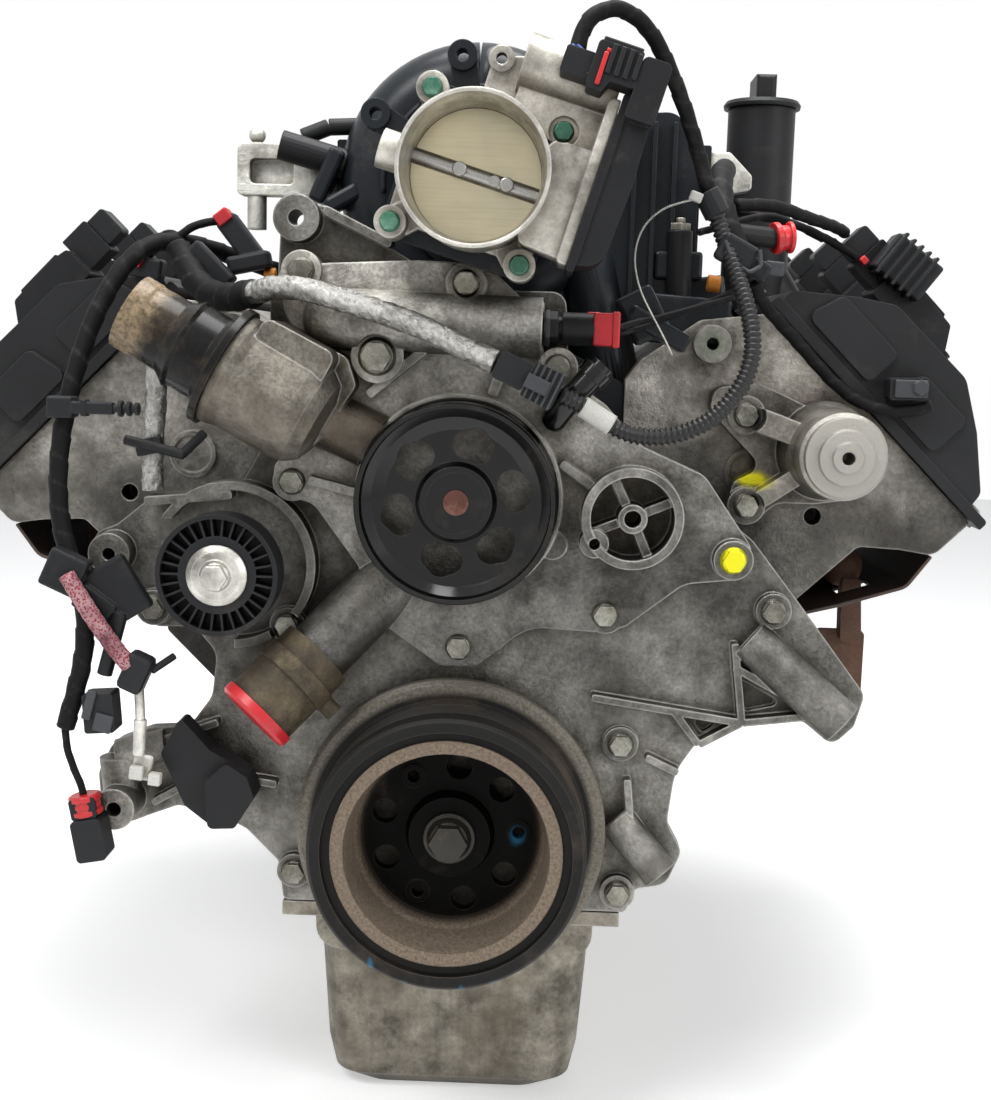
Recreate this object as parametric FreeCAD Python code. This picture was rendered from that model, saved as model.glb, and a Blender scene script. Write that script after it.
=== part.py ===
import FreeCAD, Part
import math
import os

os.makedirs("parts", exist_ok=True)

# Frame: origin on the crank axis at the block's rear face, X to the right seen from the front, Z up.
# The front of the engine looks along -Y, and depths are given as mm ahead of the block's front face.

# Block and banks
block_length = 520.0
bank_stagger = 23.0
bank_half_angle = 45.0
half_angle = math.radians(bank_half_angle)
bank_length = block_length - bank_stagger
bore_spacing = 113.3
bore_radius = 49.7
first_bearing = 30.0
deck_height = 235.0
deck_half_width = 76.0
skirt_half_width = 117.0
crankcase_half_width = 98.0
rail_z = -62.0
valley_z = 190.0
bearing_count = 5
mount_pad_x = 152.0
mount_pad_y = -300.0
mount_pad_z = -8.0
mount_pad_length = 96.0
mount_pad_height = 76.0
mount_hole_y = 70.0
mount_hole_z = 50.0
mount_hole_radius = 5.0
bell_half_width = 144.0
bell_thickness = 14.0
bell_hole_radius = 6.0
bell_holes = [(-158.0, 70.0), (158.0, 70.0), (-158.0, 150.0), (158.0, 150.0), (-84.0, 214.0), (84.0, 214.0),
              (-132.0, -44.0), (132.0, -44.0)]

# Crank train
main_journal_radius = 32.0
bearing_shell = 2.5
bearing_width = 24.0
crank_throw = 45.4
crank_pin_radius = 27.0
crank_pin_length = 46.0
crank_web_thickness = 16.0
counterweight_radius = 80.0
crankcase_radius = 92.0
snout_radius = 20.0
snout_bolt_radius = 8.0
crank_flange_radius = 48.0
crank_flange_thickness = 12.0
crank_flange_pcd = 78.0
crank_flange_holes = 8
crank_flange_hole_radius = 5.5
running_clearance = 0.05
cap_half_width = 62.0
cap_depth = 52.0

# Camshaft and its drive
cam_z = 150.0
cam_journal_radius = 26.0
cam_core_radius = 17.0
cam_lobe_lift = 6.0
chain_pitch = 9.525
crank_teeth = 20
cam_teeth = 2 * crank_teeth
drive_plane = 30.0
sprocket_width = 14.0
chain_thickness = 5.0
oil_pump_radius = 52.0
oil_pump_depth = 16.0

# Timing cover
cover_front = 60.0
cover_plate = 12.0
cover_wall = 7.0
cover_top_z = 360.0
rib_height = 10.0
rib_width = 5.0
seal_radius = 38.0

# Outline of the timing cover, seen from the front
cover_outline = [(-116, rail_z + 1, 4), (-120, -33, 6), (-142, -11, 16), (-166, 1, 14), (-190, 4, 10),
                 (-208, -3, 8), (-227, -11, 14), (-243, 2, 14), (-245, 26, 16), (-234, 48, 16),
                 (-209, 58, 10), (-182, 60, 14), (-166, 82, 18), (-163, 112, 14), (-178, 130, 10),
                 (-205, 129, 10), (-219, 143, 12), (-224, 160, 10), (-246, 172, 12), (-247, 192, 12),
                 (-231, 198, 12), (-208, 217, 8), (-150, 222, 10), (-128, 262, 14), (-128, cover_top_z, 10),
                 (66, cover_top_z, 10), (70, 300, 16), (118, 262, 20), (168, 222, 20), (196, 200, 12),
                 (228, 160, 12), (276, 98, 10), (270, 76, 8), (256, 62, 8), (236, 78, 6), (204, 80, 30),
                 (168, 66, 40), (151, 40, 40), (147, 4, 16), (158, -16, 10), (148, -40, 12), (126, -44, 8),
                 (121, rail_z + 1, 4)]
housing_outline = [(-112, rail_z + 1, 4), (-112, 40, 20), (-92, 200, 20), (-116, 262, 14),
                   (-120, cover_top_z - 2, 10), (60, cover_top_z - 2, 10), (62, 300, 16), (92, 230, 30),
                   (108, 60, 20), (114, rail_z + 1, 4)]
chamber_outline = [(-60, -54, 30), (60, -54, 30), (82, 20, 30), (86, 170, 50), (50, 236, 30),
                   (-50, 236, 30), (-86, 170, 50), (-82, 20, 30)]
cover_ribs = [((92, 92), (193, 78)), ((186, 132), (193, 78)), ((186, 116), (232, 92)),
              ((212, 132), (230, 106)), ((147, 85), (165, 62)), ((193, 78), (238, 84)),
              ((165, 62), (193, 78)), ((130, 52), (152, 42)), ((118, 36), (121, 8)),
              ((-205, 8), (-168, 30)), ((-168, 30), (-120, 24)), ((-205, 50), (-160, 66))]

# Damper
damper_front = 133.0
damper_rear = 74.0
belt_ring_radius = 90.0
rear_flange_radius = 104.0
rubber_outer_radius = 81.0
rubber_inner_radius = 75.0
hub_lip_radius = 66.5
hub_boss_radius = 27.0
web_front = 86.0
web_thickness = 9.0
web_hole_circle = 46.0
web_hole_radius = 8.5
puller_hole_radius = 4.2
groove_count = 7
groove_pitch = 3.56
groove_depth = 2.6
first_groove = 91.0

# Fasteners
m8_shank = 4.0
m8_head_flats = 13.0
m8_head_height = 6.5
m8_flange_radius = 9.0
m8_grip = 14.0
m6_shank = 3.0
m6_head_flats = 10.0
m6_head_height = 5.0
m6_flange_radius = 6.5
m6_grip = 8.0
bolt_hole_clearance = 0.25

# Cylinder heads, covers and coils
gasket_thickness = 1.2
head_length = 474.0
head_height = 165.0
head_rail = deck_height + head_height
intake_face_x = 110.0
valve_cover_wall = 3.0
valve_cover_height = 63.0
valve_cover_top = head_rail + valve_cover_height
coil_pad = 3.5
coil_height = 28.0
coil_width = 38.0
coil_stalk_radius = 12.0
cover_rail_height = 7.6
cover_profile = [(head_rail + 0.4, -100, 1), (head_rail + 16, -104, 6), (head_rail + 47, -68, 10),
                 (valve_cover_top - 1, -46, 10), (valve_cover_top, 24, 14), (head_rail + 44, 57, 14),
                 (head_rail + 18, 91, 8), (head_rail + 0.4, 94, 1)]
outer_bolt_across = 103.0
inner_bolt_across = -112.0
outer_cover_bolts = 5
inner_cover_bolts = 3
filler_x = 224.0
filler_depth = -200.0
filler_base_z = 390.0
filler_radius = 27.0
filler_top_z = 520.0

# Exhaust
exhaust_log_rise = 83.0
exhaust_log_across = 81.0
exhaust_log_radius = 15.5
exhaust_outlet_radius = 21.0
exhaust_outlet_drop = 96.0

# Intake and throttle
throttle_x = 8.0
throttle_z = 425.0
throttle_bore_radius = 40.0
throttle_roll = 17.0
throttle_seat = 94.0
throttle_front = 165.0
throttle_plate_at = 123.0
throttle_lip_radius = 45.5
throttle_wall_radius = 43.8
throttle_bolt_pitch = 83.5
throttle_shaft_radius = 5.0
plate_thickness = 2.5
plate_clearance = 0.3
runner_radius = 28.0
runner_ring_radius = 71.0
runner_ring_x = 2.0
runner_ring_z = 436.0
runner_count = 8
runner_pitch = bore_spacing / 2
throttle_neck_radius = 47.0
first_runner = 42.0
plenum_radius = 54.0
plenum_wall = 5.0
intake_floor_z = 232.0
gear_cover_joint = 69.0
gear_low = -34.0
gear_high = 66.0
motor_up = 74.0
motor_depth = 112.0
motor_radius = 18.5
motor_left = 6.0
motor_ear_along = -7.8
motor_ear_up = 71.6
throttle_boss_height = 26.0
throttle_boss_radius = 10.0
connector_low = 65.0
connector_high = 93.0
connector_left = 37.0
boot_top = 84.9
connector_front = 156.0
plate_screw_places = (-11.0, 12.0)
intake_ear_places = ((-4.5, 505.0), (-59.0, 468.0))
intake_ear_hole_radius = 4.0
intake_ear_radius = 9.5
left_pad_x = -100.0
right_pad_x = 168.0

# Coolant pump
pump_x = 0.0
pump_z = 225.0
pump_base_front = 76.0
pump_body_radius = 68.0
pump_body_front = 84.0
pump_chamber_radius = 50.0
pump_snout_radius = 22.0
pump_snout_front = 99.0
pump_shaft_radius = 8.0
pulley_radius = 63.5
pulley_front = 126.0
pulley_rear = 88.5
pulley_wall = 2.5
pulley_web_front = 114.0
pulley_hole_circle = 37.0
pulley_hole_radius = 9.5
pulley_hole_degrees = (13, 74, 136, 194, 257, 314)
sensor_hole_radius = 7.0
manifold_tube_radius = 19.5
manifold_tube_depth = 79.0
manifold_tube_x = -84.0
manifold_tube_z = 338.0
inlet_radius = 22.0
inlet_bore_radius = 18.5
hose_radius = 8.5
stud_x = -54.0
stud_z = 315.0
stud_seat = 88.0
stud_shank = 6.0
stud_grip = 24.0

# Thermostat housing and its coolant neck
joint_gap = 0.2
thermostat_front = 98.0
neck_depth = 104.0
neck_start_x = -147.0
neck_start_z = 305.0
neck_lean = 29.0
neck_bore = 21.5
neck_end_radius = 24.8
neck_length = 70.0
neck_flange_radius = 40.0
housing_radius = 35.0
housing_length = 62.0
thermostat_outline = [(-136, 264, 6), (-134, 334, 8), (-118, 336, 6), (-72, 314, 8), (-66, 296, 6),
                      (-88, 262, 8), (-104, 248, 6)]

# Idler and tensioner seat
idler_x = -150.0
idler_z = 175.0
idler_radius = 39.0
idler_front = 122.0
idler_width = 24.0
idler_cap_radius = 19.5
idler_rib_count = 30
tensioner_x = 113.0
tensioner_z = 216.0
tensioner_radius = 33.0
tensioner_wall = 6.0
tensioner_front = 95.0
tensioner_hole_radius = 5.5
pump_outline = [(-121, 372, 8), (-30, 377, 10), (14, 376, 10), (38, 354, 10), (52, 354, 3), (52, 318, 6),
                (74, 318, 8), (76, 300, 8), (94, 288, 14), (118, 262, 16), (160, 244, 16), (194, 196, 12),
                (186, 176, 10), (150, 172, 20), (112, 142, 12), (92, 138, 10), (48, 140, 30), (14, 112, 10),
                (-10, 112, 10), (-50, 140, 30), (-66, 178, 20), (-96, 218, 14), (-122, 224, 10),
                (-122, 244, 10), (-96, 262, 14), (-92, 300, 20), (-116, 342, 10)]

# Stepped pulley bracket at the right head
bracket_below_rail = 41.5
bracket_across = -7.8
bracket_x = (head_rail - bracket_below_rail + bracket_across) * math.cos(half_angle)
bracket_z = (head_rail - bracket_below_rail - bracket_across) * math.sin(half_angle)
bracket_front = 95.0
bracket_hole_radius = 4.2

# Bolts on the front: X, Z and the depth of the seat
pump_bolt_places = [(-104.5, 368.5, 81.0), (1.5, 363.0, 81.0), (62.0, 311.0, 81.0),
                    (98.5, 150.0, pump_base_front), (2.0, 125.0, pump_base_front),
                    (-110.0, 232.0, pump_base_front), (180.0, 190.0, 86.0)]
cover_bolt_places = [(-205.0, 143.0, 66.0), (-114.0, 134.0, 66.0), (113.0, 59.0, 64.0),
                     (211.0, 154.0, 66.0), (-108.0, -38.0, 66.0), (114.5, -45.0, 66.0)]
bracket_bolt_places = [(bracket_x - 56.0, bracket_z + 23.0, 26.0),
                       (bracket_x - 53.0, bracket_z - 39.0, 26.0)]

# Oil pan
pan_bottom_z = -231.0
pan_half_width_top = 103.0
pan_half_width_low = 92.0
pan_wall = 6.0
pan_flange = 10.0
pan_bolt_inset = 6.8
pan_bolt_rows = 7
sump_front = 5.0
sump_rear = -370.0

# Wiring looms: X, depth and Z of the points that each one passes
arch_radius = 5.2
arch_points = [(66.8, 138, 497), (68.5, 137, 509), (76.5, 135, 519), (89.5, 131, 523.5), (103, 124, 518.5),
               (114.5, 114, 508), (125.5, 101, 491.5), (136.5, 88, 471), (145, 80, 450), (150.5, 78, 434),
               (156, 78, 418.2)]
conduit_radius = 5.6
conduit_points = [(156.2, 78, 417.4), (160.7, 79, 404), (167, 86, 387), (174, 96, 366), (180.5, 106, 344),
                  (182.5, 112, 321.5), (174.5, 116, 299.7), (155.5, 118, 279.5), (131.2, 118, 270.1),
                  (106.5, 116, 270.5), (88.7, 116, 281.1), (73.4, 118, 290.7), (63.3, 120, 295.4)]
foil_radius = 8.0
foil_points = [(-198, 22, 383), (-187, 36, 366), (-172, 48, 353), (-154, 62, 350), (-136, 80, 353),
               (-119, 98, 357), (-99, 110, 356), (-76, 114, 350), (-50, 115, 343), (-28, 116, 336),
               (-8, 118, 327), (8, 120, 320), (22.7, 122, 314)]
left_loom_radius = 6.5
left_loom_points = [(-111, -93, 371), (-129, -74, 371), (-148, -50, 375), (-167, -26, 381), (-185, -4, 387),
                    (-203, 17, 390), (-219, 36, 384), (-234, 50, 363), (-247, 62, 330), (-256, 72, 295),
                    (-261, 80, 262), (-263, 84, 230), (-261, 86, 203), (-255, 90, 183), (-246, 94, 165),
                    (-241, 98, 146), (-241, 100, 120), (-246, 102, 94), (-254, 102, 68)]
plug_lead_radius = 2.6
plug_lead_points = [(-254.1, 102, 67.0), (-253.5, 102, 55), (-249, 102, 41), (-244.5, 102, 31),
                    (-242.2, 102, 22.4)]
right_trunk_radius = 8.5
right_trunk_points = [(177, -41, 452), (175, -26, 450), (171, -4, 446), (168, 17, 437), (167, 34, 422),
                      (171, 44, 405), (179, 50, 388), (188, 51, 372)]
cover_strand_radius = 4.5
rail_strand_points = [(189.5, 49.8, 369.4), (195, 43, 359), (207, 30, 348), (222, 20, 335), (237, 16, 320),
                      (252, 15.5, 305), (268, 16, 293), (286, 17, 287.5), (304, 19, 287), (318, 20, 292)]
coil_strand_points = [(178.4, 29.2, 421.2), (197, 14, 424), (214, 0, 423), (231, -14, 419), (247, -29, 416.5),
                      (260, -46, 415), (269, -62, 413)]
connector_gap = 0.3
loom_end_gap = 1.4

banks = [("right", 1, 0.0), ("left", -1, -bank_stagger)]
bank_sides = [(side, side_front) for name, side, side_front in banks]


def v(x, y, z):
    return FreeCAD.Vector(x, y, z)


def front(distance):
    """Y of a plane that lies this far ahead of the block's front face"""
    return -(block_length + distance)


def at(x, distance, z):
    return v(x, front(distance), z)


def save(shape, name):
    solids = shape.Solids
    Part.makeCompound(solids).exportStep("parts/" + name + ".step")
    print(name, len(solids), "solids", round(sum(solid.Volume for solid in solids) / 1000.0, 1), "cm3")


def fuse(shapes):
    shapes = list(shapes)
    if len(shapes) == 1:
        return shapes[0]
    return shapes[0].multiFuse(shapes[1:]).removeSplitter()


def cut(shape, tools):
    tools = list(tools)
    if not tools:
        return shape
    return shape.cut(tools)


def rounded_loop(points, radius):
    """closed wire in X and Z with rounded corners; a third value in a point is its own radius"""
    count = len(points)
    corners = []
    for index, point in enumerate(points):
        here = v(point[0], 0, point[1])
        before = v(points[index - 1][0], 0, points[index - 1][1]) - here
        after_point = points[(index + 1) % count]
        after = v(after_point[0], 0, after_point[1]) - here
        own = point[2] if len(point) > 2 else radius
        shorter = min(before.Length, after.Length)
        before.normalize()
        after.normalize()
        turn = math.pi - before.getAngle(after)
        reach = min(own * math.tan(turn / 2), 0.46 * shorter)
        if reach < 0.05 or turn < 0.03:
            corners.append((here, None, here))
            continue
        arc_radius = reach / math.tan(turn / 2)
        middle = before + after
        middle.normalize()
        mid = here + middle * (arc_radius / math.cos(turn / 2) - arc_radius)
        corners.append((here + before * reach, mid, here + after * reach))
    edges = []
    for index, corner in enumerate(corners):
        start, mid, end = corner
        if mid is not None:
            edges.append(Part.Arc(start, mid, end).toShape())
        following = corners[(index + 1) % count][0]
        if (following - end).Length > 1e-4:
            edges.append(Part.makeLine(end, following))
    return Part.Wire(edges)


def prism(points, radius, rear, ahead):
    """outline in X and Z, extruded from the depth rear to the depth ahead"""
    face = Part.Face(rounded_loop(points, radius))
    face.translate(v(0, front(rear), 0))
    return face.extrude(v(0, rear - ahead, 0))


def rod(x, z, radius, rear, ahead):
    return Part.makeCylinder(radius, ahead - rear, at(x, rear, z), v(0, -1, 0))


def tube(x, z, outer, inner, rear, ahead):
    return rod(x, z, outer, rear, ahead).cut(rod(x, z, inner, rear - 1, ahead + 1))


def bar(start, end, radius):
    return Part.makeCylinder(radius, (end - start).Length, start, end - start)


def turned(profile, start, direction):
    """closed profile of (radius, distance along direction) turned round its axis"""
    points = [v(radius, 0, distance) for radius, distance in profile]
    face = Part.Face(Part.makePolygon(points + [points[0]]))
    solid = face.revolve(v(0, 0, 0), v(0, 0, 1), 360)
    if solid.Volume < 0:
        solid.reverse()
    solid.Placement = FreeCAD.Placement(start, FreeCAD.Rotation(v(0, 0, 1), direction))
    return solid


def turned_ahead(profile, x, z):
    """turned about an axis along Y, with the distances as depths"""
    return turned(profile, at(x, 0, z), v(0, -1, 0))


def bank_xz(side, height, across, radius=None):
    """height along the bank's axis and distance across it, outboard positive"""
    x = side * (height * math.sin(half_angle) + across * math.cos(half_angle))
    z = height * math.cos(half_angle) - across * math.sin(half_angle)
    if radius is None:
        return x, z
    return x, z, radius


def bank_prism(side, outline, radius, rear, ahead):
    return prism([bank_xz(side, *point) for point in outline], radius, rear, ahead)


def bank_vector(side, height, across, depth):
    x, z = bank_xz(side, height, across)
    return at(x, depth, z)


def bolt(seat, direction, flats, head_height, flange_radius, shank_radius, grip):
    """flange bolt whose head sits on the point seat and points along direction"""
    corners = [v(math.cos(math.radians(60 * k)), math.sin(math.radians(60 * k)), 0) for k in range(6)]
    points = [corner * (flats / math.sqrt(3)) for corner in corners]
    head = Part.Face(Part.makePolygon(points + [points[0]])).extrude(v(0, 0, head_height))
    flange = Part.makeCone(flange_radius, flange_radius * 0.82, head_height * 0.4)
    shank = Part.makeCylinder(shank_radius, grip, v(0, 0, -grip))
    solid = fuse([head, flange, shank])
    solid.Placement = FreeCAD.Placement(seat, FreeCAD.Rotation(v(0, 0, 1), direction))
    return solid


def m8(seat, direction):
    return bolt(seat, direction, m8_head_flats, m8_head_height, m8_flange_radius, m8_shank, m8_grip)


def m6(seat, direction):
    return bolt(seat, direction, m6_head_flats, m6_head_height, m6_flange_radius, m6_shank, m6_grip)


def hole_for(seat, direction, shank_radius, grip):
    direction = v(direction.x, direction.y, direction.z)
    direction.normalize()
    depth = grip + 1.0
    return Part.makeCylinder(shank_radius + bolt_hole_clearance, depth + 2.0, seat + direction,
                             direction * -1)


def head_room(seat, direction, radius, height):
    """free cylinder above a bolt's seat for its head and the socket that turns it"""
    way = v(direction.x, direction.y, direction.z)
    way.normalize()
    return Part.makeCylinder(radius, height, seat, way)


def front_bolt_cuts(places, floor):
    """holes and head rooms of bolts that point along the crank axis"""
    tools = []
    for x, z, seat in places:
        tools.append(rod(x, z, m8_shank + bolt_hole_clearance, max(floor, seat - m8_grip - 1), seat + 1))
        tools.append(head_room(at(x, seat, z), ahead_way, m8_flange_radius + 2.0, 30.0))
    return tools


ahead_way = v(0, -1, 0)


def bearing_depth(index):
    return -(first_bearing + bore_spacing * index)


def bore_depth(side_front, index):
    return side_front - (first_bearing + bore_spacing / 2 - bank_stagger / 2) - bore_spacing * index


def block_outline():
    foot = 104.0
    return [(-skirt_half_width, rail_z), (skirt_half_width, rail_z), (skirt_half_width, -8.0),
            (foot, 40.0), (84.0, valley_z), (-84.0, valley_z), (-foot, 40.0), (-skirt_half_width, -8.0)]


def engine_block():
    body = [prism(block_outline(), 6.0, -block_length, 0.0)]
    for side, side_front in bank_sides:
        outline = [(70.0, -deck_half_width), (deck_height, -deck_half_width),
                   (deck_height, deck_half_width), (100.0, deck_half_width)]
        body.append(bank_prism(side, outline, 5.0, side_front - bank_length, side_front))
    flange = [(-bell_half_width, rail_z), (bell_half_width, rail_z), (184.0, 60.0), (172.0, 176.0),
              (96.0, 232.0), (-96.0, 232.0), (-172.0, 176.0), (-184.0, 60.0)]
    body.append(prism(flange, 22.0, -block_length, -block_length + bell_thickness))
    for side in (1, -1):
        pad = Part.makeBox(mount_pad_x - 100.0, mount_pad_length, mount_pad_height)
        corner_x = 100.0 if side > 0 else -mount_pad_x
        pad.translate(v(corner_x, mount_pad_y - mount_pad_length / 2, mount_pad_z - mount_pad_height / 2))
        body.append(pad)
        for station in (-110.0, -230.0, -350.0):
            rib = [(70.0, deck_half_width - 4), (deck_height - 16, deck_half_width - 4),
                   (deck_height - 16, deck_half_width + 5), (70.0, deck_half_width + 16)]
            body.append(bank_prism(side, rib, 2.0, station - 4, station + 4))
    block = fuse(body)
    cuts = [Part.makeBox(2 * crankcase_half_width, block_length - 24.0, -rail_z + 1.0,
                         v(-crankcase_half_width, -block_length + 12.0, rail_z - 1.0))]
    for index in range(bearing_count - 1):
        rear = bearing_depth(index + 1) + bearing_width / 2
        ahead = bearing_depth(index) - bearing_width / 2
        cuts.append(rod(0, 0, crankcase_radius, rear, ahead))
    cuts.append(rod(0, 0, main_journal_radius + bearing_shell, -block_length - 1, 1))
    cuts.append(rod(0, 0, crank_flange_radius + 2.0, -block_length - 1, -block_length + 16.0))
    cuts.append(rod(0, cam_z, cam_journal_radius + running_clearance, -block_length + 20.0, 1.0))
    for side, side_front in bank_sides:
        for index in range(4):
            depth = bore_depth(side_front, index)
            cuts.append(bar(bank_vector(side, 80.0, 0, depth), bank_vector(side, deck_height + 1, 0, depth),
                            bore_radius))
    for x, z in bell_holes:
        cuts.append(rod(x, z, bell_hole_radius, -block_length - 1, -block_length + bell_thickness + 2))
    for side in (1, -1):
        for along in (-0.5, 0.5):
            for up in (-0.5, 0.5):
                y = mount_pad_y + along * mount_hole_y
                z = mount_pad_z + up * mount_hole_z
                start = v(side * (mount_pad_x + 1), y, z)
                cuts.append(Part.makeCylinder(mount_hole_radius, 25.0, start, v(-side, 0, 0)))
    return cut(block, cuts)


def main_bearing_caps():
    caps = []
    for index in range(bearing_count):
        depth = bearing_depth(index)
        outline = [(-cap_half_width, 0.0, 0.0), (-cap_half_width, -cap_depth), (cap_half_width, -cap_depth),
                   (cap_half_width, 0.0, 0.0)]
        cap = prism(outline, 14.0, depth - bearing_width / 2 + 1, depth + bearing_width / 2 - 1)
        bore = rod(0, 0, main_journal_radius + bearing_shell, depth - bearing_width, depth + bearing_width)
        caps.append(cap.cut(bore))
    return Part.makeCompound(caps)


def main_bearings():
    inner = main_journal_radius + running_clearance
    outer = main_journal_radius + bearing_shell
    shells = []
    for index in range(bearing_count):
        depth = bearing_depth(index)
        shells.append(tube(0, 0, outer, inner, depth - bearing_width / 2 + 1,
                           depth + bearing_width / 2 - 1))
    return Part.makeCompound(shells)


def crank_web(angle, rear, ahead):
    way = v(math.cos(angle), 0, math.sin(angle))
    disc = rod(0, 0, counterweight_radius, rear, ahead)
    keep = Part.makeBox(2 * counterweight_radius, ahead - rear, counterweight_radius + 1)
    keep.translate(v(-counterweight_radius, front(ahead), -counterweight_radius - 1))
    keep.rotate(v(0, 0, 0), v(0, 1, 0), 90 - math.degrees(angle))
    cheek = rod(way.x * crank_throw, way.z * crank_throw, crank_pin_radius + 7, rear, ahead)
    return fuse([disc.common(keep), cheek, rod(0, 0, main_journal_radius + 9, rear, ahead)])


def crankshaft():
    pieces = []
    for index in range(bearing_count):
        depth = bearing_depth(index)
        half = (bore_spacing - crank_pin_length - 2 * crank_web_thickness) / 2
        pieces.append(rod(0, 0, main_journal_radius, depth - half, depth + half))
    for index, degrees in enumerate((0, 90, 270, 180)):
        angle = math.radians(degrees)
        middle = (bearing_depth(index) + bearing_depth(index + 1)) / 2
        half = crank_pin_length / 2
        x = crank_throw * math.cos(angle)
        z = crank_throw * math.sin(angle)
        pieces.append(rod(x, z, crank_pin_radius, middle - half, middle + half))
        pieces.append(crank_web(angle, middle - half - crank_web_thickness, middle - half))
        pieces.append(crank_web(angle, middle + half, middle + half + crank_web_thickness))
    rear_start = -block_length
    pieces.append(rod(0, 0, crank_flange_radius, rear_start, rear_start + crank_flange_thickness))
    pieces.append(rod(0, 0, main_journal_radius, rear_start, bearing_depth(bearing_count - 1)))
    pieces.append(rod(0, 0, main_journal_radius - 2, bearing_depth(0), 4.0))
    pieces.append(rod(0, 0, snout_radius, 0.0, web_front - web_thickness - 2.0))
    shaft = fuse(pieces)
    holes = [rod(0, 0, 12.0, rear_start - 1, rear_start + 20.0)]
    for index in range(crank_flange_holes):
        angle = 2 * math.pi * index / crank_flange_holes
        x = crank_flange_pcd / 2 * math.cos(angle)
        z = crank_flange_pcd / 2 * math.sin(angle)
        holes.append(rod(x, z, crank_flange_hole_radius, rear_start - 1,
                         rear_start + crank_flange_thickness + 1))
    holes.append(rod(0, 0, snout_bolt_radius + bolt_hole_clearance, 40.0, web_front))
    return cut(shaft, holes)


def sprocket(x, z, teeth, bore):
    pitch_radius = chain_pitch / (2 * math.sin(math.pi / teeth))
    blank = rod(x, z, pitch_radius + 2.6, drive_plane - sprocket_width / 2,
                drive_plane + sprocket_width / 2)
    seats = []
    for index in range(teeth):
        angle = 2 * math.pi * (index + 0.5) / teeth
        seat_x = x + pitch_radius * math.cos(angle)
        seat_z = z + pitch_radius * math.sin(angle)
        seats.append(rod(seat_x, seat_z, chain_pitch * 0.34, drive_plane - sprocket_width,
                         drive_plane + sprocket_width))
    hole = rod(x, z, bore, drive_plane - sprocket_width, drive_plane + sprocket_width)
    return cut(blank, seats + [hole])


def camshaft():
    pieces = [rod(0, cam_z, cam_core_radius, -block_length + 24.0, drive_plane - sprocket_width / 2)]
    for index in range(bearing_count):
        depth = bearing_depth(index)
        pieces.append(rod(0, cam_z, cam_journal_radius, depth - 10, depth + 10))
    pieces.append(rod(0, cam_z, 12.0, 0.0, drive_plane + sprocket_width / 2))
    for index in range(4 * (bearing_count - 1)):
        place = bearing_depth(index // 4) - bore_spacing * (0.2 + 0.2 * (index % 4))
        angle = math.radians(137.5 * index)
        pieces.append(rod(cam_lobe_lift * math.cos(angle), cam_z + cam_lobe_lift * math.sin(angle),
                          cam_core_radius + 1.5, place - 7, place + 7))
    return fuse(pieces)


def chain_loop(grow, rear, ahead):
    """outline round both sprockets, grown by a distance outside the tooth tips"""
    small = chain_pitch / (2 * math.sin(math.pi / crank_teeth)) + 2.6 + grow
    large = chain_pitch / (2 * math.sin(math.pi / cam_teeth)) + 2.6 + grow
    lean = math.asin((large - small) / cam_z)
    side = v(math.cos(lean), 0, -math.sin(lean))
    low = [v(side.x * small, 0, side.z * small), v(-side.x * small, 0, side.z * small)]
    high = [v(side.x * large, 0, cam_z + side.z * large), v(-side.x * large, 0, cam_z + side.z * large)]
    edges = [Part.makeLine(low[0], high[0]), Part.Arc(high[0], v(0, 0, cam_z + large), high[1]).toShape(),
             Part.makeLine(high[1], low[1]), Part.Arc(low[1], v(0, 0, -small), low[0]).toShape()]
    face = Part.Face(Part.Wire(edges))
    face.translate(v(0, front(rear), 0))
    return face.extrude(v(0, rear - ahead, 0))


def timing_chain():
    half = sprocket_width / 2
    outside = chain_loop(0.5 + chain_thickness, drive_plane - half, drive_plane + half)
    return outside.cut(chain_loop(0.5, drive_plane - half - 1, drive_plane + half + 1))


def oil_pump():
    ring = rod(0, 0, oil_pump_radius, 0.0, oil_pump_depth)
    lobe = prism([(-30, -52, 12), (30, -52, 12), (30, 0), (-30, 0)], 2.0, 0.0, oil_pump_depth)
    bore = rod(0, 0, main_journal_radius + 1.0, -1.0, 5.0)
    return cut(fuse([ring, lobe]), [bore, rod(0, 0, snout_radius + running_clearance, 0.0,
                                              oil_pump_depth + 1)])


def rib(start, end, width, rear, ahead):
    way = v(end[0] - start[0], 0, end[1] - start[1])
    way.normalize()
    side = v(-way.z, 0, way.x) * (width / 2)
    points = [(start[0] + side.x, start[1] + side.z), (end[0] + side.x, end[1] + side.z),
              (end[0] - side.x, end[1] - side.z), (start[0] - side.x, start[1] - side.z)]
    return prism(points, width * 0.3, rear, ahead)


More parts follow.
